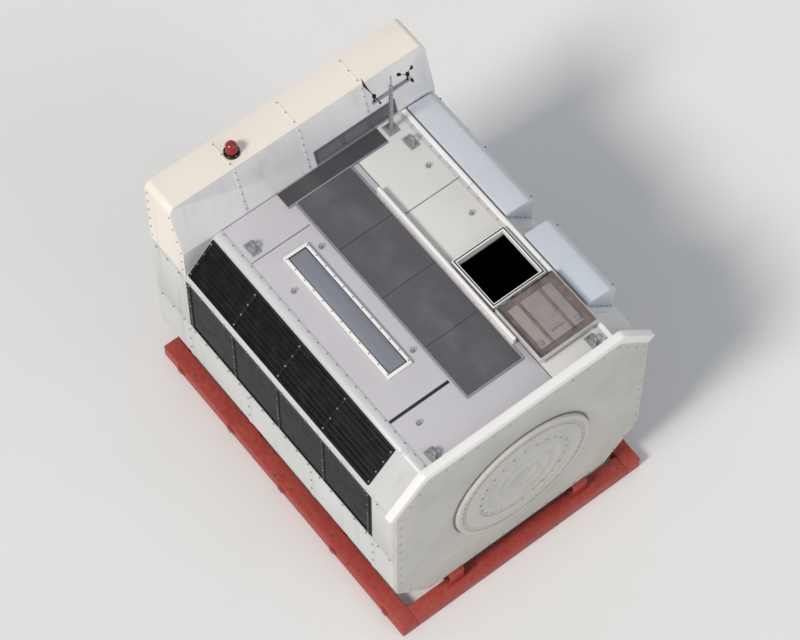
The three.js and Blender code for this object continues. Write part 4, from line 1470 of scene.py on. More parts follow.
def domed_pane():
    bm = bmesh.new()
    half = (PANE[1] - PANE[0]) / 2
    centre = (PANE[1] + PANE[0]) / 2
    bmesh.ops.create_grid(bm, x_segments=36, y_segments=14, size=1)
    for vert in bm.verts:
        u, v = vert.co.x, vert.co.y
        rise = (1 - u ** 4) * (1 - v ** 4)
        vert.co = (centre.x + u * half.x, centre.y + v * half.y, PANE[1].z - 0.006 + DOME * rise)
    bmesh.ops.recalc_face_normals(bm, faces=bm.faces)
    bmesh.ops.solidify(bm, geom=bm.faces[:], thickness=PANE_THICKNESS)
    dome = piece("skylight_pane_dome", bm, ACRYLIC)
    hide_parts("skylight_pane")


# The frame takes the rim's brighter white, which is a painted highlight.
dressed("skylight_frame", RIM_HIGHLIGHT, edge=0.008)
domed_pane()

# %% [markdown]
# A rubber seal lies between the pane and its frame, and screws hold the frame down. Under the pane,
# a dark sheet just above the roof is painted shade, so that the smoky pane has depth to show.

# %% Seal, screws and painted shade of the roof light
PANE_SEAL = 0.014
FRAME_SCREW_INSET = 0.022


def skylight_seal():
    bm = bmesh.new()
    bottom, top = PANE[1].z - 0.004, PANE[1].z + 0.004
    for y in (PANE[0].y, PANE[1].y - PANE_SEAL):
        block(bm, (PANE[0].x, y, bottom), (PANE[1].x, y + PANE_SEAL, top), 0.002)
    y0, y1 = PANE[0].y + PANE_SEAL, PANE[1].y - PANE_SEAL
    for x in (PANE[0].x, PANE[1].x - PANE_SEAL):
        block(bm, (x, y0, bottom), (x + PANE_SEAL, y1, top), 0.002)
    piece("skylight_seal", bm, RUBBER)


def skylight_screws():
    bm = bmesh.new()
    for x in spaced(SKYLIGHT[0].x + 0.05, SKYLIGHT[1].x - 0.05, 0.19):
        for y in (SKYLIGHT[0].y + FRAME_SCREW_INSET, SKYLIGHT[1].y - FRAME_SCREW_INSET):
            bolt(bm, (x, y, SKYLIGHT[1].z), UP, 0.012)
    piece("skylight_screws", bm, ZINC)


skylight_seal()
skylight_screws()
shade_sheet = bmesh.new()
block(shade_sheet, (PANE[0].x, PANE[0].y, ROOF_Z + 0.001), (PANE[1].x, PANE[1].y, ROOF_Z + 0.004), 0)
piece("skylight_shade_sheet", shade_sheet, FOAM_AND_SHADE)

# %% [markdown]
# The cooler is a tall cream moulding across the rear, and its front leans back. A plate on a
# leaning face would be hard to place by its corners. It is made as an upright block and turned by
# the face's own angle, and one helper finds the place on the face at any height.

# %% The cooler's leaning front
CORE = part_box("cooler_core")
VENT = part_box("cooler_vent")
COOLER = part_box("cooler_housing")
TOP_FRONT = REAR + 0.52
SLOPE_FOOT = ROOF_Z + 0.02
SLOPE = math.atan2(COOLER_FRONT - TOP_FRONT, COOLER[1].z - SLOPE_FOOT)
LEAN = Matrix.Rotation(-SLOPE, 4, "Y")
SLOPE_OUT = Vector((math.cos(SLOPE), 0, math.sin(SLOPE)))


def slope_point(y, z):
    """The point of the cooler's front face at a place across it and a height."""
    return Vector((COOLER_FRONT - max(0, z - SLOPE_FOOT) * math.tan(SLOPE), y, z))


def plate_on_slope(bm, y0, y1, z0, z1, proud, sunk=SINK):
    centre = slope_point((y0 + y1) / 2, (z0 + z1) / 2) + SLOPE_OUT * ((proud - sunk) / 2)
    half = Vector((proud + sunk, y1 - y0, (z1 - z0) / math.cos(SLOPE))) / 2
    block(bm, centre - half, centre + half, 0.0015, LEAN)


print("the cooler's front leans back by", round(math.degrees(SLOPE), 1), "degrees")

# %% [markdown]
# The housing of the cooler is dressed like the shells, in a cream that is painted warm sunlight,
# with its front in the whiter gel coat. Its finned core and its vent stay as they are in the solid
# model, because other pieces cover most of them. A piece that only needs a finish gets its material
# on the object, and keeps its own mesh.

# %% Cooler housing, core and vent
def cooler_shell():
    shell = dressed("cooler_housing", [SUNLIT_CREAM, SLOPE_WHITE], edge=0.012, bend=0.03)
    # Faces that look forward take the whiter coat, and the rest keep the cream of painted sunlight.
    for face in shell.data.polygons:
        face.material_index = int(face.normal.x > 0.8)


def coated(node, material):
    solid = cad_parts[node]
    solid.material_slots[0].link = "OBJECT"
    solid.material_slots[0].material = material
    print(node, "coated with", material.name)


cooler_shell()
coated("cooler_core", BLACK)
coated("cooler_vent", FOAM_AND_SHADE)

# %% [markdown]
# Air goes in through the rear face: thin upright fins, flat tubes that cross them, and guard rods
# in front, held by a few flat bars. There are over 150 fins, so each is a plain box of 12
# triangles, and a bevel would be lost on metal 2.4 mm thick.

# %% Fins and guard of the cooler
FIN_PITCH = 0.02
FIN_HALF = 0.0012
TUBE_PITCH = 0.075
TUBE_HALF = 0.008
GUARD_ROD_PITCH = 0.13
GUARD_BAR_PITCH = 0.6
GUARD_BAR_HALF = 0.012


def core_fins():
    bm = bmesh.new()
    low, high = CORE
    back = low.x + 0.002
    for y in spaced(low.y + 0.012, high.y - 0.012, FIN_PITCH):
        block(bm, (REAR + 0.018, y - FIN_HALF, low.z), (back, y + FIN_HALF, high.z), 0)
    for z in spaced(low.z + 0.04, high.z - 0.04, TUBE_PITCH):
        block(bm, (REAR + 0.024, low.y, z - TUBE_HALF), (back, high.y, z + TUBE_HALF), 0.002)
    piece("cooler_fins", bm, ALUMINIUM)


def core_guard():
    bm = bmesh.new()
    low, high = CORE
    half = GUARD_BAR_HALF
    for z in spaced(low.z + 0.05, high.z - 0.05, GUARD_ROD_PITCH):
        rod(bm, (REAR + 0.009, low.y, z), (0, 1, 0), 0.006, high.y - low.y, 10)
    for y in spaced(low.y + 0.02, high.y - 0.02, GUARD_BAR_PITCH):
        block(bm, (REAR + 0.002, y - half, low.z), (REAR + 0.012, y + half, high.z), 0.002)
    piece("cooler_guard", bm, ZINC)


core_fins()
core_guard()

# %% [markdown]
# A vent sits at the foot of the leaning front. Its slats are turned by 38 degrees so that rain runs
# off them, and stand a little inside the face. A slate-grey frame with uprights goes round them. It
# reads as a soft dark stripe and not as a black hole, and that stripe is partly painted shade along
# the cooler's foot.

# %% Vent at the cooler's foot
SLAT_TILT = Matrix.Rotation(math.radians(38), 4, "Y")
VENT_SLAT_PITCH = 0.034
VENT_BAR_HALF = 0.014


def vent_slats():
    bm = bmesh.new()
    y0, y1, z0, z1 = VENT[0].y, VENT[1].y, VENT[0].z, VENT[1].z
    half = VENT_BAR_HALF
    reach = Vector((0.024, (y1 - y0) / 2 - 0.004, 0.002))
    for z in spaced(z0 + 0.02, z1 - 0.02, VENT_SLAT_PITCH):
        centre = slope_point((y0 + y1) / 2, z) - SLOPE_OUT * 0.018
        block(bm, centre - reach, centre + reach, 0, SLAT_TILT)
    for y in spaced(y0, y1, 0.43):
        plate_on_slope(bm, y - half, y + half, z0, z1, 0.004, 0.03)
    for z in (z0, z1):
        plate_on_slope(bm, y0 - half, y1 + half, z - half, z + half, 0.006, 0.002)
    piece("cooler_vent_slats", bm, SLATE)


vent_slats()

# %% [markdown]
# The cooler's moulding is built from four lengths. A low strip covers each joint on the top and
# runs on down the front, where it starts above the vent if it would cross it. Screws hold the
# strips, and others stand along the ends and above and below the core.

# %% Seams and screws of the cooler
SEAM_PLACES = (-1.02, 0.0, 1.02)
SEAM_HALF = 0.022
SEAM_HEIGHT = 0.003


def cooler_seams(strips, front_strips, screws):
    back, top, half = COOLER[0].x, COOLER[1].z, SEAM_HALF
    head = top - 0.04
    for y in SEAM_PLACES:
        low = (back + 0.04, y - half, top - SINK)
        block(strips, low, (TOP_FRONT - 0.03, y + half, top + SEAM_HEIGHT), 0.0015)
        crosses_vent = VENT[0].y < y + half and y - half < VENT[1].y
        start = VENT[1].z + 0.03 if crosses_vent else SLOPE_FOOT + 0.02
        plate_on_slope(front_strips, y - half, y + half, start, head, SEAM_HEIGHT)
        for x in spaced(back + 0.08, TOP_FRONT - 0.07, 0.16):
            bolt(screws, (x, y, top + SEAM_HEIGHT), UP, SCREW)
        for z in spaced(start + 0.05, head - 0.04, 0.14):
            bolt(screws, slope_point(y, z) + SLOPE_OUT * SEAM_HEIGHT, SLOPE_OUT, SCREW)


def cooler_end_screws(screws):
    back, top = COOLER[0].x, COOLER[1].z
    for way in (1, -1):
        for z in spaced(SHOULDER_Z + 0.12, top - 0.16, 0.2):
            for x in (back + 0.05, slope_point(0, z).x - 0.05):
                bolt(screws, (x, way * HALF_WIDTH, z), (0, way, 0), 0.016)
    for z in (CORE[0].z - 0.035, CORE[1].z + 0.03):
        for y in spaced(CORE[0].y, CORE[1].y, 0.24):
            bolt(screws, (back, y, z), (-1, 0, 0), SCREW)


top_strips, front_strips, cooler_screws = bmesh.new(), bmesh.new(), bmesh.new()
cooler_seams(top_strips, front_strips, cooler_screws)
cooler_end_screws(cooler_screws)
piece("cooler_seam_strips", top_strips, SUNLIT_CREAM)
piece("cooler_front_strips", front_strips, SLOPE_WHITE)
piece("cooler_screws", cooler_screws, ZINC)

# %% [markdown]
# Used air leaves by a black grille in the rear wall, whose blades slope like those of the louvres.
# Flat slate-grey bars stand across the blades and keep them from rattling. Pop rivets hold the bars
# and the frame, and a rivet's head is a very low disc.

# %% Rear outlet
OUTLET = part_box("rear_outlet")
BACKWARDS = (-1, 0, 0)
OUTLET_BAR_HALF = 0.018
OUTLET_BAR_PITCH = 0.53
RIVET_R = 0.007
RIVET_PITCH = 0.15
RIVET_INSET = 0.03


def outlet_bars():
    bars, rivets = bmesh.new(), bmesh.new()
    low, high = OUTLET
    half = OUTLET_BAR_HALF
    x, z0, z1 = low.x + 0.001, low.z + 0.078, high.z - 0.078
    for y in spaced(low.y + 0.08, high.y - 0.08, OUTLET_BAR_PITCH)[1:-1]:
        block(bars, (x, y - half, z0), (low.x + 0.007, y + half, z1), 0.0015)
        for z in spaced(z0 + 0.04, z1 - 0.04, 0.24):
            rod(rivets, (x, y, z), BACKWARDS, RIVET_R, 0.0008, 10)
    piece("outlet_bars", bars, SLATE)
    piece("outlet_bar_rivets", rivets, ALUMINIUM)


def outlet_rivets():
    bm = bmesh.new()
    low, high = OUTLET
    level_rows = (low.z + RIVET_INSET, high.z - RIVET_INSET)
    upright_rows = (low.y + RIVET_INSET, high.y - RIVET_INSET)
    places = [(y, z) for y in spaced(*upright_rows, RIVET_PITCH) for z in level_rows]
    heights = spaced(low.z + 0.12, high.z - 0.12, RIVET_PITCH)
    places += [(y, z) for z in heights for y in upright_rows]
    for y, z in places:
        rod(bm, (low.x + 0.0005, y, z), BACKWARDS, RIVET_R, 0.0004, 10)
    piece("outlet_rivets", bm, ALUMINIUM)


louvre_with_lit_lips("rear_outlet", BACKWARDS, 0.002)
outlet_bars()
outlet_rivets()

# %% [markdown]
# At the front stands the flange, a cast ring with a shallow groove round its face. The ring could
# be cut out of a cylinder with booleans, but it is round and its profile is stepped, so turning its
# outline is simpler and gives clean faces.

# %% Rotor flange
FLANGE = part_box("rotor_flange")
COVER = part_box("flange_cover")
AHEAD = (1, 0, 0)
FLANGE_R = (FLANGE[1].y - FLANGE[0].y) / 2
FLANGE_DEPTH = FLANGE[1].x - FLANGE[0].x
BORE_R = (COVER[1].y - COVER[0].y) / 2 + 0.001
GROOVE = (FLANGE_R - 0.14, FLANGE_R - 0.07)
GROOVE_FLOOR = FLANGE_DEPTH - 0.014


def flange_ring():
    bm = bmesh.new()
    inner, outer = GROOVE
    outline = [
        (BORE_R, 0),
        (FLANGE_R, 0),
        (FLANGE_R, FLANGE_DEPTH - 0.012),
        (FLANGE_R - 0.004, FLANGE_DEPTH - 0.003),
        (FLANGE_R - 0.012, FLANGE_DEPTH),
        (outer + 0.003, FLANGE_DEPTH),
        (outer, FLANGE_DEPTH - 0.003),
        (outer, GROOVE_FLOOR),
        (inner, GROOVE_FLOOR),
        (inner, FLANGE_DEPTH - 0.003),
        (inner - 0.003, FLANGE_DEPTH),
        (BORE_R + 0.004, FLANGE_DEPTH),
        (BORE_R, FLANGE_DEPTH - 0.004),
    ]
    turned(bm, outline, (FLANGE[0].x, 0, FLANGE_Z), AHEAD, 128)
    made = piece("rotor_flange_ring", bm, END_GREY)
    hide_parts("rotor_flange")


flange_ring()

# %% [markdown]
# The groove holds a circle of studs, each a thin rod in a hexagon nut, and a sealant lip closes the
# joint between the ring and the wall. One coat of grey paint runs over the ring and its studs, so
# that the end looks plain from far away.

# %% Studs and seal of the flange
STUD_COUNT = 54


def around(radius, count, x):
    """Points on a circle round the flange's axis."""
    for i in range(count):
        angle = 2 * math.pi * i / count
        yield (x, radius * math.cos(angle), FLANGE_Z + radius * math.sin(angle))


def flange_studs_and_seal():
    studs, seal = bmesh.new(), bmesh.new()
    for at in around(sum(GROOVE) / 2, STUD_COUNT, FLANGE[0].x + GROOVE_FLOOR):
        rod(studs, at, AHEAD, 0.019, 0.01, 6)
        rod(studs, at, AHEAD, 0.011, 0.0135)
    lip = [(FLANGE_R, 0), (FLANGE_R + 0.03, 0), (FLANGE_R + 0.022, 0.012), (FLANGE_R, 0.014)]
    turned(seal, lip, (FRONT, 0, FLANGE_Z), AHEAD)
    piece("flange_studs", studs, END_GREY)
    piece("flange_seal", seal, SEALANT)


flange_studs_and_seal()

# %% [markdown]
# A round cover closes the flange and keeps the weather out during transport. Three low ridges
# stiffen its sheet. They are part of its outline, so the same spin makes them, and bolts hold its
# edge.

# %% Flange cover
RIDGES = (0.62, 0.42, 0.22)
RIDGE_FOOT = 0.025
RIDGE_TOP = 0.012
RIDGE_RISE = 0.006
COVER_BOLT_COUNT = 24


def cover_disc():
    bm = bmesh.new()
    depth, radius = COVER[1].x - COVER[0].x, BORE_R - 0.001
    outline = [(0, 0), (radius, 0), (radius, depth - 0.004), (radius - 0.004, depth)]
    for ridge in RIDGES:
        outline += [(ridge + RIDGE_FOOT, depth), (ridge + RIDGE_TOP, depth + RIDGE_RISE)]
        outline += [(ridge - RIDGE_TOP, depth + RIDGE_RISE), (ridge - RIDGE_FOOT, depth)]
    turned(bm, outline + [(0, depth)], (COVER[0].x, 0, FLANGE_Z), AHEAD)
    made = piece("flange_cover_disc", bm, END_GREY)
    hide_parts("flange_cover")


def cover_bolts():
    bm = bmesh.new()
    for x, y, z in around(BORE_R - 0.001 - 0.045, COVER_BOLT_COUNT, COVER[1].x):
        rod(bm, (x, y, z), AHEAD, 0.017, 0.002)
        rod(bm, (x + 0.002, y, z), AHEAD, 0.012, 0.008, 6)
    piece("cover_bolts", bm, ZINC)


cover_disc()
cover_bolts()

# %% [markdown]
# Under the floor sits the yaw ring, on which the machine house turns into the wind. It has gear
# teeth inside and a circle of bolts, which leaves out the places where the long beams are. A tooth
# is a softened block, made once for each place and turned about Z. The cast main frame above has
# widely rounded corners, as a casting always has.

# %% Yaw ring and main frame
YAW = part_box("yaw_ring")
YAW_INNER = 1.0
TOOTH_COUNT = 120
TOOTH_HALF = 0.012
YAW_BOLT_COUNT = 64
YAW_BOLT_R = 1.18
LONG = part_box("long_beam_left")


def yaw_teeth():
    bm = bmesh.new()
    low = (YAW_INNER - 0.026, -TOOTH_HALF, YAW[0].z + 0.005)
    high = (YAW_INNER + 0.004, TOOTH_HALF, YAW[1].z - 0.02)
    for i in range(TOOTH_COUNT):
        tooth = bmesh.new()
        block(tooth, low, high, 0.004)
        turn = Matrix.Rotation(2 * math.pi * i / TOOTH_COUNT, 4, "Z")
        bmesh.ops.transform(tooth, matrix=turn, verts=tooth.verts)
        pour(bm, tooth)
    piece("yaw_teeth", bm, MACHINED)


def yaw_bolts():
    bm = bmesh.new()
    for i in range(YAW_BOLT_COUNT):
        angle = 2 * math.pi * (i + 0.5) / YAW_BOLT_COUNT
        x, y = YAW_BOLT_R * math.cos(angle), YAW_BOLT_R * math.sin(angle)
        if not LONG[0].y - 0.03 < abs(y) < LONG[1].y + 0.03:
            bolt(bm, (x, y, YAW[0].z), DOWN, 0.03)
    piece("yaw_bolts", bm, ZINC)


dressed("yaw_ring", CAST, edge=0.004)
dressed("main_frame", CAST, edge=0.018)
yaw_teeth()
yaw_bolts()

# %% [markdown]
# The transport frame is welded from box section and H beams. Box section has wide rounded corners
# from rolling, and an H beam's flanges have small ones. The long beams get plates that stiffen
# their webs every 600 mm or so, and a plate over each end.

# %% Beams and stiffeners
BASE_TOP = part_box("side_rail_left")[1].z
LONG_Y = (LONG[0].y + LONG[1].y) / 2
LONG_HALF = (LONG[1].y - LONG[0].y) / 2
BEAM_FLANGE = 0.024
HALF_PLATE = 0.006
STIFFENER_PITCH = 0.6


def stiffeners(bm, way):
    z0, z1 = BASE_TOP + BEAM_FLANGE - SINK, LONG[1].z - BEAM_FLANGE + SINK
    for x in spaced(LONG[0].x + 0.3, LONG[1].x - 0.3, STIFFENER_PITCH):
        for side in (1, -1):
            reaches = (0.008, LONG_HALF - HALF_PLATE)
            y0, y1 = sorted(way * LONG_Y + side * reach for reach in reaches)
            block(bm, (x - HALF_PLATE, y0, z0), (x + HALF_PLATE, y1, z1), 0.001)


def end_plates(bm, way):
    y0, y1 = way * LONG_Y - LONG_HALF, way * LONG_Y + LONG_HALF
    for x, out in ((LONG[0].x, -1), (LONG[1].x, 1)):
        x0, x1 = sorted((x, x + out * 2 * HALF_PLATE))
        block(bm, (x0, y0, BASE_TOP + 0.002), (x1, y1, LONG[1].z), 0.002)


for node in ("end_beam_rear", "end_beam_front", "side_rail_left", "side_rail_right"):
    dressed(node, RED, edge=0.014)
for node in ("cross_beam_rear", "cross_beam_front", "long_beam_left", "long_beam_right"):
    dressed(node, RED, edge=0.003)
plates = bmesh.new()
for way in (1, -1):
    stiffeners(plates, way)
    end_plates(plates, way)
piece("beam_stiffeners", plates, RED)

# %% [markdown]
# Bolts clamp the long beams to the two cross beams, four at each crossing. Where the cross members
# meet the side rails, the frame is welded: a bead runs up each corner between them and along the
# top of the joint. A real bead is rippled, but at this distance a thin rod half sunk in the corner
# looks the same.

# %% Bolts and welds of the frame
CROSSING_BEAMS = ("end_beam_rear", "cross_beam_rear", "cross_beam_front", "end_beam_front")
CROSSINGS_X = [sum(corner.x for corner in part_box(node)) / 2 for node in CROSSING_BEAMS]
WELD_REACH = 0.121
TOP_WELD_HALF = 0.115


def four_corners(half):
    return [(dx, dy) for dx in (-half, half) for dy in (-half, half)]


def crossing_bolts():
    bm = bmesh.new()
    for way in (1, -1):
        for x in CROSSINGS_X[1:3]:
            for dx, dy in four_corners(0.07):
                bolt(bm, (x + dx, way * LONG_Y + dy, BASE_TOP + BEAM_FLANGE), UP, 0.036)
    piece("crossing_bolts", bm, ZINC)


def weld_beads():
    bm = bmesh.new()
    rail_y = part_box("side_rail_left")[0].y
    for y in (rail_y, -rail_y):
        for x in CROSSINGS_X:
            for upright_x in (x - WELD_REACH, x + WELD_REACH):
                if abs(upright_x) < abs(LONG[0].x):
                    rod(bm, (upright_x, y, 0.004), UP, 0.007, BASE_TOP - 0.008, 8)
            rod(bm, (x - TOP_WELD_HALF, y, BASE_TOP), AHEAD, 0.005, 2 * TOP_WELD_HALF, 8)
    piece("frame_weld_beads", bm, RED)


crossing_bolts()
weld_beads()

# %% [markdown]
# During transport the frame is tied down by lashing rings along its side rails. A ring hangs from a
# bracket on a welded plate. It is a circle turned about an axis beside it, with only eight corners,
# because it is as thick as a finger and never seen close.

# %% Lashing rings
LASHING_X = (-2.3, -1.15, 0.0, 1.15, 2.3)
RING_Z = 0.105


def ring(bm, centre, normal, radius, thickness):
    angles = [2 * math.pi * i / 8 for i in range(8)]
    outline = [(radius + thickness * math.cos(a), thickness * math.sin(a)) for a in angles]
    turned(bm, outline, centre, normal, 24)


def lashing_rings():
    bases, rings = bmesh.new(), bmesh.new()
    for way in (1, -1):
        for x in LASHING_X:
            y0, y1 = on_side(way, HALF_WIDTH - SINK, HALF_WIDTH + 0.012)
            block(bases, (x - 0.07, y0, 0.06), (x + 0.07, y1, 0.18), 0.003)
            y0, y1 = on_side(way, HALF_WIDTH + 0.01, HALF_WIDTH + 0.034)
            block(bases, (x - 0.04, y0, 0.135), (x + 0.04, y1, 0.165), 0.004)
            ring(rings, (x, way * (HALF_WIDTH + 0.024), RING_Z), (0, way, 0), 0.042, 0.009)
    piece("lashing_plates", bases, RED)
    piece("lashing_rings", rings, ZINC)


lashing_rings()

# %% [markdown]
# On the roof stand four lifting lugs, bolted down at their corners, and some small eyes for safety
# lines. An eye is the lashing ring's shape in small, on a short tapered stalk with a round foot
# plate.

# %% Lugs and safety eyes
LUGS = [f"lifting_lug_{side}_{end}" for side, _ in SIDES for end in ("rear", "front")]
EYES = [(-0.9, -0.58), (1.0, -0.58), (-1.0, 1.25), (-0.1, 1.25), (1.85, -1.15), (-0.6, -1.25)]
LUG_FOOT = 0.02
EYE_FOOT = 0.006


def roof_eyes():
    bm = bmesh.new()
    for x, y in EYES:
        rod(bm, (x, y, ROOF_Z), UP, 0.036, EYE_FOOT, 20)
        rod(bm, (x, y, ROOF_Z + EYE_FOOT), UP, 0.014, 0.016, 12, 0.009)
        ring(bm, (x, y, ROOF_Z + 0.046), (0, 1, 0), 0.024, 0.0065)
    piece("safety_eyes", bm, ZINC)


def lug_bolts():
    bm = bmesh.new()
    for node in LUGS:
        low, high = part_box(node)
        for x in (low.x + 0.022, high.x - 0.022):
            for y in (low.y + 0.024, high.y - 0.024):
                bolt(bm, (x, y, ROOF_Z + LUG_FOOT), UP, 0.024)
    piece("lug_bolts", bm, ZINC)


for node in LUGS:
    dressed(node, ZINC, edge=0.003)
roof_eyes()
lug_bolts()

# %% [markdown]
# The weather mast carries a wind speed gauge and a wind vane on a short arm. Both have the same
# turned head, a stem under a drum with a groove. The mast's foot plate is bolted to the roof, and a
# conical collar stands round the pole where it leaves the plate.

# %% Weather mast
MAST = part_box("weather_mast")
MAST_MIDDLE = (MAST[0] + MAST[1]) / 2
ARM_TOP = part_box("anemometer")[0].z
MAST_FOOT = 0.014


def instrument_head(bm, at):
    stem = [(0, 0), (0.016, 0), (0.016, 0.006), (0.011, 0.012), (0.011, 0.088), (0.022, 0.092)]
    drum = [(0.026, 0.1), (0.026, 0.112), (0.023, 0.114), (0.026, 0.116), (0.026, 0.138)]
    turned(bm, stem + drum + [(0.016, 0.15), (0, 0.152)], at, UP, 32)


def mast_hardware():
    bm = bmesh.new()
    x, y, z = MAST_MIDDLE.x, MAST_MIDDLE.y, ROOF_Z + MAST_FOOT
    for dx, dy in four_corners(0.066):
        bolt(bm, (x + dx, y + dy, z), UP, 0.018)
    collar = [(0.03, 0), (0.05, 0), (0.034, 0.03), (0.03, 0.03)]
    turned(bm, collar, (x, y, z), UP, 32)
    piece("mast_hardware", bm, ZINC)


dressed("weather_mast", ZINC, edge=0.002)
mast_hardware()

# %% [markdown]
# The wind speed gauge has three hollow cups. Each starts as a sphere and is cut in half by a plane.
# It then gets a thin wall and a rod, is moved out, and is turned about the middle to its place. The
# normals are put right before the wall is added, because afterwards that would turn the inner wall
# round.

# %% Cups of the wind gauge
CUP_R = 0.032
CUP_REACH = 0.11
CUP_Z = 0.124
CUP_WALL = 0.002


def cup():
    bm = bmesh.new()
    bmesh.ops.create_uvsphere(bm, u_segments=20, v_segments=12, radius=CUP_R - 0.001)
    everything = bm.verts[:] + bm.edges[:] + bm.faces[:]
    half = {"plane_co": (0, 0, 0), "plane_no": (0, 1, 0), "clear_outer": True}
    bmesh.ops.bisect_plane(bm, geom=everything, **half)
    bmesh.ops.recalc_face_normals(bm, faces=bm.faces)
    bmesh.ops.solidify(bm, geom=bm.faces[:], thickness=CUP_WALL)
    bmesh.ops.translate(bm, vec=(CUP_REACH, 0, 0), verts=bm.verts)
    rod(bm, (0, 0, 0), AHEAD, 0.004, CUP_REACH - CUP_R + 0.004, 10)
    return bm


def cup_gauge():
    bm = bmesh.new()
    at = Vector((MAST_MIDDLE.x, MAST[1].y - 0.03, ARM_TOP))
    instrument_head(bm, at)
    place = Matrix.Translation(at + Vector((0, 0, CUP_Z)))
    for i in range(3):
        one = cup()
        turn = Matrix.Rotation(2 * math.pi * i / 3, 4, "Z")
        bmesh.ops.transform(one, matrix=place @ turn, verts=one.verts)
        pour(bm, one)
    gauge = piece("cup_gauge", bm, BLACK)
    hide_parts("anemometer")


cup_gauge()

# %% [markdown]
# The vane is a rod on the same head. Its turned nose balances a flat fin behind, and the fin is one
# four-sided face, grown to a thin plate by the helper that makes the long bars.

# %% Wind vane
FIN_CORNERS = [(-0.06, 0.118), (-0.23, 0.062), (-0.268, 0.208), (-0.15, 0.15)]
FIN_SHEET_HALF = 0.003
NOSE = [(0, 0), (0.012, 0), (0.015, 0.008), (0.012, 0.026), (0, 0.034)]


def vane():
    bm = bmesh.new()
    at = Vector((MAST_MIDDLE.x, MAST[0].y + 0.03, ARM_TOP))
    instrument_head(bm, at)
    rod(bm, at + Vector((-0.12, 0, CUP_Z)), AHEAD, 0.006, 0.25)
    turned(bm, NOSE, at + Vector((0.115, 0, CUP_Z)), AHEAD, 20)
    outline = [(x, -FIN_SHEET_HALF, z) for x, z in FIN_CORNERS]
    fin = extruded(outline, (0, 2 * FIN_SHEET_HALF, 0))
    soften(fin, fin.edges[:], 0.002)
    bmesh.ops.translate(fin, vec=at, verts=fin.verts)
    pour(bm, fin)
    made = piece("vane", bm, BLACK)
    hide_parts("wind_vane")


vane()

# %% [markdown]
# The warning light is a red lens on a black foot. Moulded rings run round a real lens to spread its
# light. A bump could fake them, but their outline shows against the roof, so a zigzag in the turned
# outline gives real ones. The foot is turned about the same axis, and six bolts hold it.

# %% Warning light
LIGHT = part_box("warning_light")
RIDGE_R = 0.079
FURROW_R = 0.075
RING_PITCH = 0.0065


def light_foot(at):
    foot, bolts = bmesh.new(), bmesh.new()
    skirt = [(0, 0), (0.109, 0), (0.109, 0.03), (0.1, 0.038)]
    skirt += [(0.084, 0.042), (0.084, 0.052), (0, 0.052)]
    turned(foot, skirt, at, UP, 64)
    for i in range(6):
        angle = math.pi * i / 3
        out = 0.096 * Vector((math.cos(angle), math.sin(angle), 0))
        bolt(bolts, at + out + Vector((0, 0, 0.036)), UP, SCREW)
    piece("warning_light_foot", foot, BLACK)
    piece("warning_light_bolts", bolts, ZINC)


def warning_lens(at):
    bm = bmesh.new()
    heights = spaced(0.056, 0.18, RING_PITCH)
    rings = [(RIDGE_R if i % 2 else FURROW_R, z) for i, z in enumerate(heights)]
    dome = [(0.07, 0.196), (0.055, 0.214), (0.03, 0.226), (0, 0.231)]
    turned(bm, [(0, 0.053)] + rings + dome, at, UP, 64)
    lens = piece("warning_lens", bm, LENS, sharp=60)
    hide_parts("warning_light")


light_place = (LIGHT[0] + LIGHT[1]) / 2
light_place.z = LIGHT[0].z
warning_lens(light_place)
light_foot(light_place)

# %% [markdown]
# The camera stands where the photograph's did: high up and far away, looking down at about 62
# degrees, so the view is close to a plan. A long lens keeps lines parallel. Its distance is worked
# out from the corners of the object's box, so that the object fills most of an 800 by 640 picture.

# %% Camera
AZIMUTH = math.radians(52)
ELEVATION = math.radians(62)
LENS_MM = 150
HALF_SENSOR_MM = 18
FILL = 1.02
IMAGE = (800, 640)


def aim_camera():
    low, high = (Vector(corner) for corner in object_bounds())
    centre, level = (low + high) / 2, math.cos(ELEVATION)
    back = Vector((math.sin(AZIMUTH) * level, -math.cos(AZIMUTH) * level, math.sin(ELEVATION)))
    turn = (-back).to_track_quat("-Z", "Y")
    right, up = turn @ Vector((1, 0, 0)), turn @ Vector((0, 1, 0))
    xs, ys, zs = zip(low, high)
    corners = [Vector((x, y, z)) for x in xs for y in ys for z in zs]
    spread = [[(corner - centre).dot(axis) for corner in corners] for axis in (right, up)]
    shift = [axis * (max(s) + min(s)) / 2 for axis, s in zip((right, up), spread)]
    half_view = HALF_SENSOR_MM / LENS_MM
    sizes = [(max(s) - min(s)) / 2 / (half_view * n / IMAGE[0]) for s, n in zip(spread, IMAGE)]
    distance = max(sizes) / FILL
    camera = bpy.data.objects.new("camera", bpy.data.cameras.new("camera"))
    camera.data.lens = LENS_MM
    camera.data.clip_end = 500
    camera.location = centre + (shift[0] + shift[1]) + back * distance
    camera.rotation_mode = "QUATERNION"
    camera.rotation_quaternion = turn
    scene.collection.objects.link(camera)
    scene.camera = camera
    print("camera", round(distance, 2), "m away")


aim_camera()

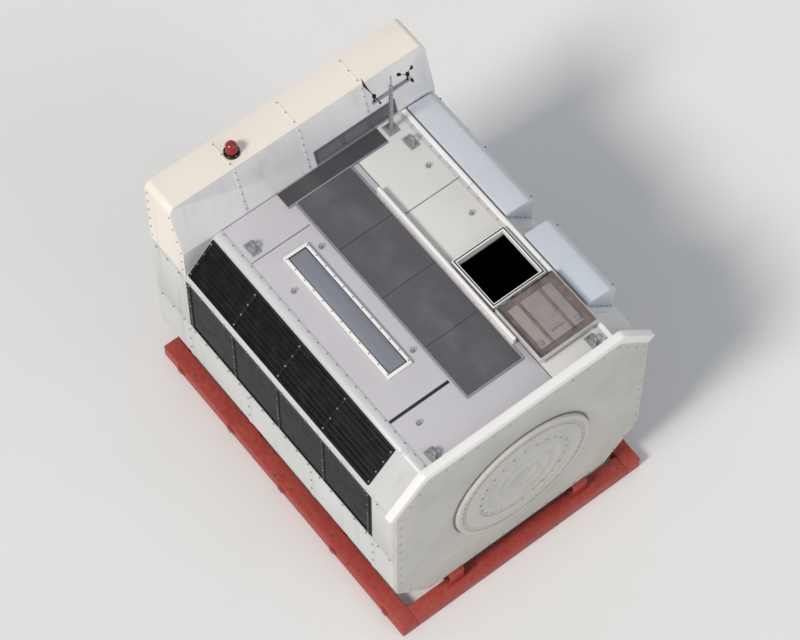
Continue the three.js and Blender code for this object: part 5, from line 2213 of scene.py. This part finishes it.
# %% [markdown]
# The stage is a plain pale floor, so wide that its edge is never seen. A pale blue sky fills the
# shadows evenly.

# %% Floor and sky
FLOOR_REACH = 200
SKY_TONE = (0.9, 0.94, 1.0, 1)
SKY_STRENGTH = 0.45


def floor_paint():
    coat = Coat("floor_paint")
    tone = coat.blend((0.8, 0.795, 0.785), (0.76, 0.755, 0.745), coat.noise(0.35, 3))
    return coat.finish(Base_Color=tone, Roughness=coat.noise(2, 2) * 0.1 + 0.8)


def floor_level():
    bm = bmesh.new()
    bmesh.ops.create_grid(bm, x_segments=1, y_segments=1, size=FLOOR_REACH)
    mesh = bpy.data.meshes.new("floor_level")
    bm.to_mesh(mesh)
    bm.free()
    mesh.materials.append(floor_paint())
    floor = bpy.data.objects.new("floor_level", mesh)
    scene.collection.objects.link(floor)
    floor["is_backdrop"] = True
    print("floor is", 2 * FLOOR_REACH, "m wide")


def sky():
    world = bpy.data.worlds.new("studio")
    world.use_nodes = True
    background = world.node_tree.nodes["Background"]
    background.inputs["Color"].default_value = SKY_TONE
    background.inputs["Strength"].default_value = SKY_STRENGTH
    scene.world = world


floor_level()
sky()

# %% [markdown]
# Two sun lamps give plain soft studio light. A sun lamp's angle says how soft its shadow is. The
# key is warm and strong with an angle of 14 degrees, and the fill comes from another side, cool and
# weak, with an angle of 40 degrees, so that its shadows can hardly be seen.

# %% Light
LOOK_AT = Vector((0, 0, 2))


def lamp(name, place, softness, strength, tone):
    data = bpy.data.lights.new(name, "SUN")
    data.energy, data.angle, data.color = strength, math.radians(softness), tone
    made = bpy.data.objects.new(name, data)
    made.location = place
    made.rotation_mode = "QUATERNION"
    made.rotation_quaternion = (LOOK_AT - Vector(place)).to_track_quat("-Z", "Y")
    scene.collection.objects.link(made)
    print(name, "lamp of", softness, "degrees")


lamp("key", (2, -22, 26), 14, 2.1, (1.0, 0.955, 0.9))
lamp("fill", (20, 6, 14), 40, 0.45, (0.92, 0.95, 1.0))
scene.view_settings.view_transform = "Standard"
